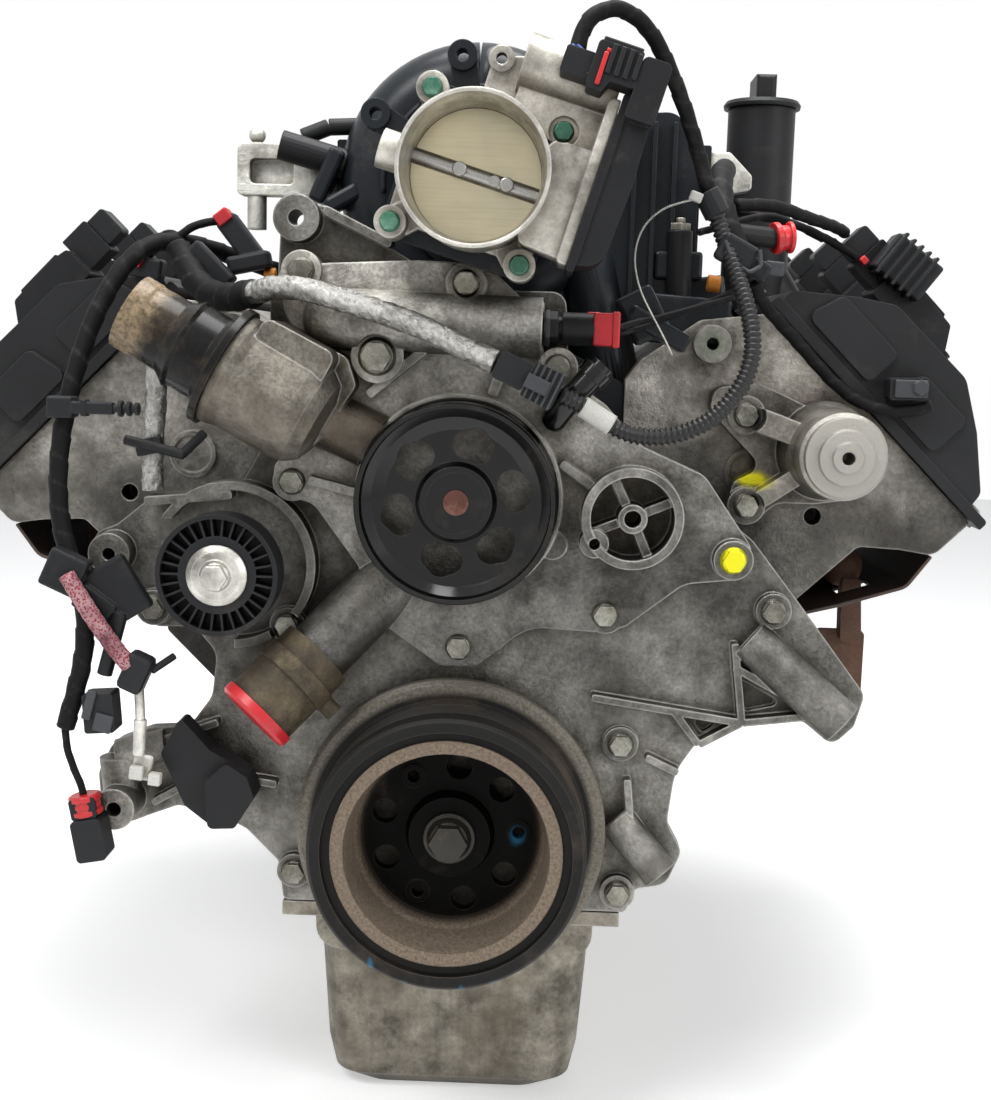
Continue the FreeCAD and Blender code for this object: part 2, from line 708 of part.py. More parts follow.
def timing_cover():
    body = [prism(cover_outline, 8.0, cover_front - cover_plate, cover_front),
            prism(housing_outline, 8.0, 0.0, cover_front - 1.0)]
    for start, end in cover_ribs:
        body.append(rib(start, end, rib_width, cover_front - 6, cover_front + rib_height))
    body.append(bar(at(196, 62, 134), at(258, 78, 82), 15.0))
    body.append(bar(at(112, 62, 6), at(143, 74, -28), 12.5))
    body.append(rod(-226, 9, 14.0, 30.0, 90.0))
    body.append(bar(at(-226, 66, 12), at(-229, 66, 40), 13.0))
    body.append(bar(at(-229, 66, 40), at(-196, 64, 48), 11.0))
    body.append(rod(-232, 180, 14.0, 34.0, 76.0))
    body.append(rod(-109, 402, 15.0, 40.0, 76.0))
    web = [(-124, 352, 4), (-122, 398, 10), (-104, 414, 10), (-90, 410, 6), (-30, 374, 8), (-30, 352, 4)]
    body.append(prism(web, 6.0, 44.0, 58.0))
    body.append(rib((-92, 408), (-48, 387), 6.0, 50.0, 72.0))
    pocket = tube(idler_x, idler_z, idler_radius + 17, idler_radius + 11, cover_front - 4, cover_front + 16)
    body.append(pocket.cut(Part.makeBox(120, 60, 140, at(idler_x - 118, cover_front + 30, idler_z - 110))))
    body.append(rib((-208, 216), (-150, 222), 6.0, cover_front - 8, cover_front + 16))
    body.append(rod(idler_x, idler_z, 13.0, 40.0, idler_front - idler_width - 1.0))
    body.append(rod(-54, 315, 22.0, cover_front - 8, cover_front))
    for x, z, seat in cover_bolt_places:
        body.append(rod(x, z, m8_flange_radius + 3.0, 44.0, seat))
    shell = fuse(body)
    cuts = [prism(chamber_outline, 20.0, -1.0, cover_front - cover_wall),
            rod(0, 0, seal_radius, 0.0, cover_front + 20),
            rod(-226, 9, 5.0, 60.0, 91.0), rod(-232, 180, 4.2, 50.0, 80.0), rod(-109, 402, 5.0, 39.0, 80.0),
            rod(idler_x, idler_z, 5.0 + bolt_hole_clearance, 60.0, 100.0)]
    way = at(258, 78, 82) - at(196, 62, 134)
    way.normalize()
    cuts.append(bar(at(258, 78, 82) - way * 22, at(258, 78, 82) + way * 2, 4.5))
    cuts.extend(front_bolt_cuts(cover_bolt_places + pump_bolt_places, 40.0))
    cuts.append(rod(stud_x, stud_z, stud_shank + bolt_hole_clearance, stud_seat - stud_grip - 1, stud_seat))
    cuts.append(bar(at(-38, 60, 174), at(-98, 92, 112), inlet_radius + 0.8))
    for points in ([(188, 108, 3), (196, 84, 3), (222, 90, 3)], [(160, 79, 3), (180, 77, 3), (168, 68, 3)]):
        cuts.append(prism(points, 3.0, cover_front - 5, cover_front + 1))
    return cut(shell, cuts)


def front_seal():
    return tube(0, 0, seal_radius - 0.05, hub_boss_radius + running_clearance, cover_front - 7.5,
                cover_front + 1.5)


def damper_hub():
    bore = snout_radius + 0.02
    profile = [(snout_radius - 6, web_front - web_thickness), (hub_boss_radius, web_front - web_thickness),
               (rubber_inner_radius, web_front - web_thickness), (rubber_inner_radius, damper_front - 3),
               (hub_lip_radius, damper_front - 3), (hub_lip_radius - 3, web_front + 10),
               (hub_lip_radius - 8, web_front), (hub_boss_radius + 3, web_front),
               (hub_boss_radius, web_front + 9), (snout_bolt_radius + 0.3, web_front + 9),
               (snout_bolt_radius + 0.3, web_front - web_thickness)]
    dish = turned_ahead(profile, 0, 0)
    boss = tube(0, 0, hub_boss_radius, bore, 46.0, web_front - web_thickness + 1)
    cuts = []
    for index in range(3):
        angle = math.radians(3 + 120 * index)
        x = web_hole_circle * math.cos(angle)
        z = web_hole_circle * math.sin(angle)
        cuts.append(rod(x, z, puller_hole_radius, web_front - 20, web_front + 5))
        for turn in (-39.5, 39.5):
            hole_angle = angle + math.radians(turn)
            x = web_hole_circle * math.cos(hole_angle)
            z = web_hole_circle * math.sin(hole_angle)
            cuts.append(rod(x, z, web_hole_radius, web_front - 20, web_front + 5))
    puller_pads = []
    for index in range(3):
        angle = math.radians(3 + 120 * index)
        x = web_hole_circle * math.cos(angle)
        z = web_hole_circle * math.sin(angle)
        puller_pads.append(rod(x, z, puller_hole_radius + 4, web_front - 1, web_front + 1.5))
    return cut(fuse([dish, boss] + puller_pads), cuts)


def damper_rubber():
    return turned_ahead([(rubber_inner_radius, damper_rear + 6), (rubber_outer_radius, damper_rear + 6),
                         (rubber_outer_radius, damper_front - 5), (rubber_inner_radius, damper_front - 5)],
                        0, 0)


def damper_ring():
    profile = [(rubber_outer_radius, damper_rear + 2), (rear_flange_radius - 4, damper_rear),
               (rear_flange_radius, damper_rear + 2), (rear_flange_radius, damper_rear + 8),
               (rear_flange_radius - 3, damper_rear + 11), (belt_ring_radius + 1, damper_rear + 12)]
    base = first_groove
    profile.append((belt_ring_radius + 1, base - 2.5))
    profile.append((belt_ring_radius, base - 1.5))
    for index in range(groove_count):
        start = base + index * groove_pitch
        profile.append((belt_ring_radius, start + 0.3))
        profile.append((belt_ring_radius - groove_depth, start + groove_pitch / 2))
        profile.append((belt_ring_radius, start + groove_pitch - 0.3))
    profile.append((belt_ring_radius, damper_front - 2))
    profile.append((belt_ring_radius - 2, damper_front))
    profile.append((rubber_outer_radius, damper_front))
    return turned_ahead(profile, 0, 0)


def damper_bolt():
    seat = web_front + 9
    washer = rod(0, 0, 17.0, seat, seat + 3)
    head = bolt(at(0, seat + 3, 0), ahead_way, 22.0, 13.0, 15.0, snout_bolt_radius, 30.0)
    return fuse([washer, head])


def oil_pan():
    top_z = rail_z
    rail = prism([(-skirt_half_width, top_z - pan_flange), (skirt_half_width, top_z - pan_flange),
                  (skirt_half_width, top_z), (-skirt_half_width, top_z)], 1.0, -block_length, cover_front)
    shallow = [(-skirt_half_width + 16, -120, 18), (skirt_half_width - 16, -120, 18),
               (skirt_half_width - 14, top_z - 2, 1), (-skirt_half_width + 14, top_z - 2, 1)]
    body = [rail, prism(shallow, 12.0, -block_length + 6, sump_front - 2)]
    inner = [prism([(-skirt_half_width + 22, -120 + pan_wall, 12),
                    (skirt_half_width - 22, -120 + pan_wall, 12), (skirt_half_width - 20, top_z + 1, 1),
                    (-skirt_half_width + 20, top_z + 1, 1)], 8.0, -block_length + 14, sump_front - 8)]
    body.append(sump_solid(0.0))
    inner.append(sump_solid(pan_wall))
    for x in (-66.0, -22.0, 22.0, 66.0):
        keel = [(x - 3, pan_bottom_z + 30), (x + 3, pan_bottom_z + 30), (x + 3, -110), (x - 3, -110)]
        body.append(prism(keel, 1.0, sump_rear - 8, sump_rear + 14))
    pan = cut(fuse(body), inner)
    holes = []
    for seat in pan_bolt_seats():
        holes.append(hole_for(seat, v(0, 0, -1), m6_shank, m6_grip))
    return cut(pan, holes)


def sump_solid(inset):
    """tapering box with round corners, narrower at its flat bottom"""
    levels = [(rail_z - 4 + (6 if inset else 0), pan_half_width_top, 0.0),
              (-195.0, pan_half_width_low + 2, 3.0), (pan_bottom_z + 12 + inset * 0.4,
                                                      pan_half_width_low - 3, 6.0),
              (pan_bottom_z + inset, pan_half_width_low - 18, 20.0)]
    wires = []
    for z, half, back in levels:
        y_front = front(sump_front) + inset + back
        y_rear = front(sump_rear) - inset - back
        corner = 26.0 - inset
        wires.append(level_loop(half - inset, y_front, y_rear, corner, z))
    return Part.makeLoft(wires, True, True)


def level_loop(half, y_front, y_rear, corner, z):
    flat = rounded_loop([(-half, y_front), (half, y_front), (half, y_rear), (-half, y_rear)], corner)
    flat.rotate(v(0, 0, 0), v(1, 0, 0), -90)
    low = flat.BoundBox
    if abs(low.YMin - min(y_front, y_rear)) > 1.0:
        flat.rotate(v(0, 0, 0), v(1, 0, 0), 180)
    flat.translate(v(0, 0, z - flat.BoundBox.ZMin))
    return flat


def pan_bolt_seats():
    seats = []
    for index in range(pan_bolt_rows):
        y = -30.0 - index * (block_length - 60.0) / (pan_bolt_rows - 1)
        for side in (-1, 1):
            seats.append(v(side * (skirt_half_width - pan_bolt_inset), y, rail_z - pan_flange))
    for side in (-1, 1):
        seats.append(v(side * 60.0, front(cover_front - 8.0), rail_z - pan_flange))
    return seats


def oil_pan_bolts():
    return Part.makeCompound([m6(seat, v(0, 0, -1)) for seat in pan_bolt_seats()])


def head_gaskets():
    sheets = []
    top = deck_height + gasket_thickness
    for side, side_front in bank_sides:
        outline = [(deck_height, -deck_half_width), (top, -deck_half_width), (top, deck_half_width),
                   (deck_height, deck_half_width)]
        sheet = bank_prism(side, outline, 0.0, side_front - head_length, side_front)
        holes = []
        for index in range(4):
            depth = bore_depth(side_front, index)
            holes.append(bar(bank_vector(side, deck_height - 1, 0, depth),
                             bank_vector(side, top + 1, 0, depth), bore_radius + 0.8))
        sheets.append(cut(sheet, holes))
    return Part.makeCompound(sheets)


def head_profile():
    seat = deck_height + gasket_thickness
    face = intake_face_x / math.cos(half_angle)
    low = deck_height + 57
    return [(seat, face - seat, 1), (seat, deck_half_width, 3), (deck_height + 27, 60, 6),
            (head_rail - 68, 62, 8), (head_rail - 48, 84, 8), (head_rail - 34, 103, 12),
            (head_rail, 103, 3), (head_rail, -98, 2), (head_rail - 42, -131, 10),
            (deck_height + 75, -139, 8), (low, face - low, 4)]


def head_solid(side, side_front):
    return bank_prism(side, head_profile(), 4.0, side_front - head_length, side_front)


def cylinder_head(side, side_front):
    body = [head_solid(side, side_front)]
    x, z = bank_xz(side, deck_height + 76, -30)
    body.append(rod(x, z, 17.0, side_front - 1, side_front + 2.5))
    x, z = bank_xz(side, head_rail - 48, -114)
    body.append(rod(x, z, 13.0, side_front - 4, side_front + 14))
    cuts = [rod(x, z, 4.2, side_front - 6, side_front + 15)]
    x, z = bank_xz(side, deck_height + 76, -30)
    cuts.append(rod(x, z, 13.5, side_front + 1.2, side_front + 4))
    x, z = bank_xz(side, deck_height + 88, 24)
    cuts.append(rod(x, z, 6.0, side_front - 20, side_front + 1))
    for station in range(4):
        depth = bore_depth(side_front, station)
        cuts.append(bar(bank_vector(side, deck_height + 61, 20, depth),
                        bank_vector(side, deck_height + 61, 64, depth), 16.0))
        pocket = [(head_rail - 26, -70, 10), (head_rail + 1, -70, 0), (head_rail + 1, 76, 0),
                  (head_rail - 26, 76, 10)]
        cuts.append(bank_prism(side, pocket, 10.0, depth - 48, depth + 48))
    return cut(fuse(body), cuts)


def coil_depths(side_front):
    return [bore_depth(side_front, index) for index in range(4)]


def valve_cover_bolt_seats(side, side_front):
    seats = []
    for index in range(outer_cover_bolts):
        depth = side_front - 22 - index * (head_length - 44) / (outer_cover_bolts - 1)
        seats.append(bank_vector(side, head_rail + 8, outer_bolt_across, depth))
    for index in range(inner_cover_bolts):
        depth = side_front - 70 - index * (head_length - 140) / (inner_cover_bolts - 1)
        seats.append(bank_vector(side, head_rail + 8, inner_bolt_across, depth))
    return seats


def cover_rail(side, side_front):
    low = head_rail + 0.4
    top = low + cover_rail_height
    rail = [(low, -107, 1), (top, -107, 3), (top, 109, 3), (low, 109, 1)]
    return bank_prism(side, rail, 2.0, side_front - head_length, side_front + 8)


def valve_cover(side, side_front):
    rear = side_front - head_length + 2
    up = bank_vector(side, 1, 0, -block_length)
    body = [bank_prism(side, cover_profile, 8.0, rear, side_front + 6)]
    body.append(cover_rail(side, side_front))
    for seat in valve_cover_bolt_seats(side, side_front):
        body.append(head_room(seat - up * cover_rail_height, up, m6_flange_radius + 2, cover_rail_height))
    for depth in coil_depths(side_front):
        pad = [(valve_cover_top - 8, -44, 1), (valve_cover_top + coil_pad, -44, 1),
               (valve_cover_top + coil_pad, 6, 1), (valve_cover_top - 8, 6, 1)]
        body.append(bank_prism(side, pad, 1.0, depth - 20, depth + 20))
        rib_line = [(head_rail + 18, 48, 1), (head_rail + 52, 48, 1), (head_rail + 28, 84, 1),
                    (head_rail + 18, 90, 1)]
        for offset in (-30.0, 30.0):
            body.append(bank_prism(side, rib_line, 1.0, depth + offset - 2, depth + offset + 2))
    for low, top, inner, outer in ((12, 40, -84, -20), (12, 44, -6, 46)):
        panel = [(head_rail + low, inner, 6), (head_rail + top, inner + 8, 6), (head_rail + top, outer, 6),
                 (head_rail + low, outer, 6)]
        body.append(bank_prism(side, panel, 6.0, side_front + 4, side_front + 10))
    cover = fuse(body)
    wall = valve_cover_wall
    inside = [(head_rail - 1, -96, 1), (head_rail + 16, -99, 4), (head_rail + 46, -64, 8),
              (valve_cover_top - 4, -43, 8), (valve_cover_top - wall, 22, 12), (head_rail + 42, 53, 12),
              (head_rail + 18, 86, 6), (head_rail - 1, 89, 1)]
    cuts = [bank_prism(side, inside, 6.0, rear + wall, side_front + 6 - wall)]
    for depth in coil_depths(side_front):
        cuts.append(bar(bank_vector(side, valve_cover_top - 20, -20, depth),
                        bank_vector(side, valve_cover_top + 9, -20, depth), coil_stalk_radius + 0.3))
    for seat in valve_cover_bolt_seats(side, side_front):
        cuts.append(hole_for(seat, up, m6_shank, m6_grip))
        cuts.append(head_room(seat, up, m6_flange_radius + 0.8, 12.0))
    if side > 0:
        cuts.append(bar(at(filler_x, filler_depth, filler_base_z - 60),
                        at(filler_x, filler_depth, filler_base_z + 60), 20.0))
    return cut(cover, cuts)


def valve_cover_bolts():
    bolts = []
    for side, side_front in bank_sides:
        up = bank_vector(side, 1, 0, -block_length)
        for seat in valve_cover_bolt_seats(side, side_front):
            bolts.append(m6(seat, up))
    return Part.makeCompound(bolts)


def ignition_coil(side, depth):
    seat = valve_cover_top + coil_pad
    top = seat + coil_height
    block = [(seat, -57, 3), (top - 3, -57, 4), (top, -40, 4), (top - 2, 0, 4), (seat + 10, 12, 4),
             (seat, 6, 2)]
    half = coil_width / 2
    body = [bank_prism(side, block, 3.0, depth - half, depth + half)]
    socket = [(seat + 4, -80, 2), (top + 5, -80, 2), (top + 5, -56, 1), (seat + 4, -56, 1)]
    body.append(bank_prism(side, socket, 2.0, depth - 12, depth + 12))
    ear = [(seat, 4, 1), (seat + 8, 4, 1), (seat + 8, 24, 6), (seat, 24, 2)]
    body.append(bank_prism(side, ear, 1.0, depth - 9, depth + 9))
    body.append(bar(bank_vector(side, seat - 30, -20, depth), bank_vector(side, seat + 1, -20, depth),
                    coil_stalk_radius))
    body.append(bar(bank_vector(side, seat + 7, 15, depth), bank_vector(side, seat + 14, 15, depth), 5.5))
    rails = []
    for offset in (-12.0, 0.0, 12.0):
        ridge = [(top - 6, -50, 1), (top + 2, -46, 1), (top + 1.5, -8, 1), (top - 6, -4, 1)]
        rails.append(bank_prism(side, ridge, 1.0, depth + offset - 1.6, depth + offset + 1.6))
    return fuse(body + rails)


def ignition_coils():
    coils = []
    for side, side_front in bank_sides:
        for depth in coil_depths(side_front):
            coils.append(ignition_coil(side, depth))
    return Part.makeCompound(coils)


def oil_filler_neck():
    neck = turned([(filler_radius - 3, -30), (filler_radius, -30),
                   (filler_radius, filler_top_z - filler_base_z),
                   (filler_radius - 3, filler_top_z - filler_base_z)],
                  at(filler_x, filler_depth, filler_base_z), v(0, 0, 1))
    elbow = bar(at(filler_x + 26, filler_depth, filler_base_z - 30),
                at(filler_x + 2, filler_depth, filler_base_z + 8), 19.0)
    solid = fuse([neck, elbow])
    solid = solid.cut(bar(at(filler_x + 26, filler_depth, filler_base_z - 30),
                          at(filler_x + 4, filler_depth, filler_base_z + 6), 16.0))
    up = bank_vector(1, 1, 0, -block_length)
    rooms = [head_room(seat, up, m6_flange_radius + 1.5, 14.0) for seat in valve_cover_bolt_seats(1, 0.0)]
    return largest(cut(solid, [bank_prism(1, cover_profile, 8.0, -head_length, 6.0),
                               cover_rail(1, 0.0)] + rooms))


def largest(shape):
    return max(shape.Solids, key=lambda solid: solid.Volume)


def oil_filler_cap():
    base = at(filler_x, filler_depth, filler_top_z)
    plug = filler_radius - 3.3
    profile = [(0, -14), (plug, -14), (plug, 0.3), (filler_radius + 3.5, 0.3), (filler_radius + 4, 3),
               (filler_radius + 2, 6), (0, 6)]
    cap = turned(profile, base, v(0, 0, 1))
    grip = Part.makeBox(16.0, 46.0, 20.0, base + v(-8, -23, 5))
    rounded = [edge for edge in grip.Edges
               if abs(edge.tangentAt(0).y) < 0.5 and edge.CenterOfMass.z > filler_top_z + 10]
    grip = grip.makeFillet(4.0, rounded)
    return cap.fuse(grip).removeSplitter()


def runner_loop(depth, side):
    """one intake runner: a ring over the plenum and its leg down to the head"""
    ring = Part.makeTorus(runner_ring_radius, runner_radius, at(runner_ring_x, depth, runner_ring_z),
                          v(0, 1, 0))
    start = at(runner_ring_x + side * (runner_ring_radius - 4), depth, runner_ring_z)
    leg = bar(start, at(side * (intake_face_x - 4), depth, 276.0), runner_radius - 5)
    foot = Part.makeSphere(runner_radius - 5, at(side * (intake_face_x - 4), depth, 276.0))
    return [ring, leg, foot]


def throttle_bolt_places():
    places = []
    for across, up in ((-0.5, 0.5), (0.5, 0.5), (0.5, -0.5), (-0.5, -0.5)):
        places.append(roll_xz(across * throttle_bolt_pitch, up * throttle_bolt_pitch))
    return places


def roll_xz(along, up):
    """point in the throttle's own turned axes"""
    roll = math.radians(throttle_roll)
    x = throttle_x + along * math.cos(roll) + up * math.sin(roll)
    z = throttle_z - along * math.sin(roll) + up * math.cos(roll)
    return x, z


def roll_prism(outline, radius, rear, ahead):
    return prism([roll_xz(*point[:2]) + tuple(point[2:]) for point in outline], radius, rear, ahead)


def roll_point(along, up, depth):
    x, z = roll_xz(along, up)
    return at(x, depth, z)


def intake_manifold():
    body = []
    for index in range(runner_count):
        side = -1 if index % 2 else 1
        body.extend(runner_loop(-(first_runner + runner_pitch * index), side))
    last = -(first_runner + runner_pitch * (runner_count - 1))
    body.append(rod(throttle_x, throttle_z, plenum_radius, last - 20, -10.0))
    body.append(rod(throttle_x, throttle_z, throttle_neck_radius, -12.0, throttle_seat - 6))
    floor = [(-intake_face_x, intake_floor_z, 2), (intake_face_x, intake_floor_z, 2),
             (intake_face_x, 300, 6), (70, 322, 14), (-70, 322, 14), (-intake_face_x, 300, 6)]
    body.append(prism(floor, 4.0, last - 30, -8.0))
    spine = [(-44, 310), (60, 310), (60, 400), (-44, 400)]
    body.append(prism(spine, 6.0, last - 10, -26.0))
    box = [(60, 356, 6), (146, 356, 10), (158, 372, 10), (158, 470, 14), (140, 490, 14), (60, 486, 6)]
    body.append(prism(box, 8.0, -330.0, -30.0))
    for x in (112.0, 126.0, 140.0):
        body.append(prism([(x - 1.6, 360), (x + 1.6, 360), (x + 1.6, 482), (x - 1.6, 482)], 0.8, -32.0,
                          -22.0))
    for index in range(5):
        depth = -60.0 - 56.0 * index
        body.append(prism([(120, 352), (162, 376), (162, 468), (120, 492)], 8.0, depth - 3, depth + 3))
    body.append(prism([(left_pad_x, 424, 2), (-30, 424), (-30, 468), (left_pad_x, 468, 2)], 2.0, -70.0,
                      -46.0))
    body.append(prism([(right_pad_x, 430, 2), (150, 430), (150, 470), (right_pad_x, 470, 2)], 2.0, -70.0,
                      -46.0))
    flange = [(-50, -50, 14), (-50, 50, 14), (50, 50, 14), (50, -50, 14)]
    body.append(roll_prism(flange, 14.0, throttle_seat - 10, throttle_seat))
    for x, z in intake_ear_places:
        body.append(rod(x, z, intake_ear_radius, throttle_seat - 34, throttle_seat - 18))
        toward = v(throttle_x - x, 0, throttle_z - z)
        toward.normalize()
        body.append(rib((x, z), (x + toward.x * 40, z + toward.z * 40), 17.0, throttle_seat - 34,
                        throttle_seat - 22))
    shell = fuse(body)
    cuts = [rod(throttle_x, throttle_z, throttle_bore_radius, -60.0, throttle_seat + 1),
            rod(throttle_x, throttle_z, plenum_radius - plenum_wall, last - 10, -30.0)]
    for x, z in intake_ear_places:
        cuts.append(rod(x, z, intake_ear_hole_radius, throttle_seat - 40, throttle_seat - 10))
    for x, z in throttle_bolt_places():
        cuts.append(rod(x, z, m6_shank + bolt_hole_clearance, throttle_seat - 20, throttle_seat + 1))
    for side, side_front in bank_sides:
        cuts.append(head_solid(side, side_front))
    return largest(cut(shell, cuts))


def silver_brackets():
    """two cast brackets on the pads beside the intake runners, the left one with a ball stud"""
    left = [prism([(-173, 428, 3), (left_pad_x, 428, 1), (left_pad_x, 462, 1), (-140, 465, 8),
                   (-173, 465, 6)], 3.0, -66.0, -50.0)]
    left.append(prism([(-120, 434, 4), (left_pad_x, 434, 1), (left_pad_x, 456, 1), (-120, 456, 4)], 3.0,
                      -50.5, -44.0))
    stem = [(0, 404), (7, 404), (7, 429), (3.4, 429), (3.4, 467), (0, 467)]
    left.append(turned(stem, at(-160, -58, 0), v(0, 0, 1)))
    left.append(Part.makeSphere(6.0, at(-160, -58, 471)))
    window = prism([(-164, 436, 4), (-132, 436, 4), (-132, 454, 4), (-164, 454, 4)], 3.0, -60.0, -49.0)
    right = prism([(right_pad_x, 434, 1), (198, 440, 3), (198, 450, 4), (182, 466, 3),
                   (right_pad_x, 466, 1)], 2.0, -66.0, -50.0)
    return Part.makeCompound([cut(fuse(left), [window]), right])


def throttle_body():
    profile = [(throttle_bore_radius, throttle_seat), (throttle_wall_radius, throttle_seat),
               (throttle_wall_radius, throttle_front - 8), (throttle_lip_radius, throttle_front - 6),
               (throttle_lip_radius, throttle_front), (throttle_lip_radius - 2.5, throttle_front),
               (throttle_bore_radius + 2, throttle_front - 14), (throttle_bore_radius, throttle_front - 24)]
    body = [turned_ahead(profile, throttle_x, throttle_z)]
    bolt_seat = throttle_seat + throttle_boss_height
    for x, z in throttle_bolt_places():
        body.append(rod(x, z, throttle_boss_radius, throttle_seat, bolt_seat))
        body.append(rib((x, z), (throttle_x + (x - throttle_x) * 0.7, throttle_z + (z - throttle_z) * 0.7),
                        20.0, throttle_seat, throttle_seat + 9))
    body.append(roll_prism([(-47, -40, 8), (-47, 40, 8), (47, 40, 8), (47, -40, 8)], 8.0, throttle_seat,
                           throttle_seat + 8))
    body.append(bar(roll_point(-60, -2, throttle_plate_at), roll_point(-40, -2, throttle_plate_at), 12.0))
    body.append(bar(roll_point(40, 0, throttle_plate_at), roll_point(66, 0, throttle_plate_at), 14.0))
    body.append(roll_prism([(36, gear_low + 4, 5), (36, 34, 8), (66, 34, 2), (66, gear_low + 2, 5)], 5.0,
                           throttle_seat + 4, throttle_front - 26))
    body.append(roll_prism([(62, gear_low, 4), (62, gear_high, 4), (gear_cover_joint, gear_high, 1),
                            (gear_cover_joint, gear_low, 1)], 4.0, throttle_seat - 8, throttle_front - 22))
    body.append(bar(roll_point(motor_left, motor_up, motor_depth), roll_point(66, motor_up, motor_depth),
                    motor_radius))
    body.append(roll_prism([(motor_left + 2, 38, 2), (motor_left + 2, 72, 2), (66, 72, 2), (66, 30, 2)],
                           2.0, motor_depth - 12, motor_depth + 10))
    x, z = roll_xz(motor_ear_along, motor_ear_up)
    body.append(rod(x, z, 8.0, motor_depth - 6, motor_depth + 4))
    body.append(roll_prism([(motor_ear_along - 5, 40, 2), (motor_ear_along - 5, motor_ear_up, 2),
                            (motor_left + 4, motor_up + 5, 2), (motor_left + 4, 40, 2)], 2.0,
                           motor_depth - 6, motor_depth + 2))
    solid = fuse(body)
    cuts = [rod(throttle_x, throttle_z, throttle_bore_radius, throttle_seat - 12, throttle_front - 24),
            rod(x, z, 3.4, motor_depth - 12, motor_depth + 12),
            bar(roll_point(-56, 0, throttle_plate_at), roll_point(gear_cover_joint + 2, 0,
                                                                  throttle_plate_at),
                throttle_shaft_radius + running_clearance)]
    inner = [(throttle_bore_radius, throttle_front - 24), (throttle_bore_radius + 2, throttle_front - 14),
             (throttle_lip_radius - 2.5, throttle_front), (throttle_lip_radius - 2.5, throttle_front + 1),
             (0, throttle_front + 1), (0, throttle_front - 24)]
    cuts.append(turned_ahead(inner, throttle_x, throttle_z))
    for x, z in throttle_bolt_places():
        cuts.append(rod(x, z, m6_shank + bolt_hole_clearance, throttle_seat - 1, bolt_seat + 1))
        cuts.append(rod(x, z, m6_flange_radius + 2.5, bolt_seat, throttle_front))
    return cut(solid, cuts)


def throttle_bolts():
    seat = throttle_seat + throttle_boss_height
    return Part.makeCompound([m6(at(x, seat, z), ahead_way) for x, z in throttle_bolt_places()])


def throttle_shaft():
    shaft = bar(roll_point(-55, 0, throttle_plate_at), roll_point(gear_cover_joint - 1, 0,
                                                                  throttle_plate_at), throttle_shaft_radius)
    half = plate_thickness / 2
    slot = roll_prism([(-throttle_bore_radius - 2, -9), (-throttle_bore_radius - 2, 9),
                       (throttle_bore_radius + 2, 9), (throttle_bore_radius + 2, -9)], 0.0,
                      throttle_plate_at - half, throttle_plate_at + half)
    return shaft.cut(slot)


def throttle_plate():
    half = plate_thickness / 2
    disc = rod(throttle_x, throttle_z, throttle_bore_radius - plate_clearance, throttle_plate_at - half,
               throttle_plate_at + half)
    holes = []
    for along in plate_screw_places:
        x, z = roll_xz(along, 0)
        holes.append(rod(x, z, 1.8, throttle_plate_at - 3, throttle_plate_at + 3))
    return cut(disc, holes)


def throttle_screws():
    screws = []
    for along in plate_screw_places:
        x, z = roll_xz(along, 0)
        head = rod(x, z, 3.4, throttle_plate_at + throttle_shaft_radius,
                   throttle_plate_at + throttle_shaft_radius + 2.2)
        screws.append(head)
    return Part.makeCompound(screws)


def throttle_gear_cover():
    joint = gear_cover_joint + 0.2
    body = [roll_prism([(joint, gear_low, 5), (joint, gear_high + 2, 3), (joint + 20, gear_high - 2, 10),
                        (joint + 22, 20, 12), (joint + 20, gear_low + 6, 14)], 6.0, throttle_seat - 14,
                       throttle_front - 20)]
    body.append(roll_prism([(joint, gear_low - 3, 2), (joint, gear_high + 4, 2),
                            (joint + 5, gear_high + 4, 2), (joint + 5, gear_low - 3, 2)], 2.0,
                           throttle_seat - 12, throttle_front - 18))
    body.append(roll_prism([(joint + 4, 56, 2), (joint + 4, connector_high - 1, 4),
                            (joint + 22, connector_high - 1, 4), (joint + 22, 56, 2)], 3.0, motor_depth + 4,
                           connector_front))
    return fuse(body)


def throttle_connector():
    right = gear_cover_joint + 4.2
    rear = motor_depth + motor_radius + 1.0
    middle = (connector_low + connector_high) / 2
    step = connector_low + 7
    plug = roll_prism([(connector_left + 9, connector_low, 3), (connector_left + 9, connector_high, 3),
                       (right, connector_high, 1), (right, step, 1), (connector_left + 22, step, 1),
                       (connector_left + 19, connector_low, 1)], 2.0, rear, connector_front)
    boot = roll_prism([(connector_left - 8, middle - 10, 2), (connector_left - 8, boot_top, 2),
                       (connector_left + 10, boot_top, 2), (connector_left + 10, middle - 10, 2)], 2.0,
                      rear + 1, connector_front - 3)
    return fuse([plug, boot])


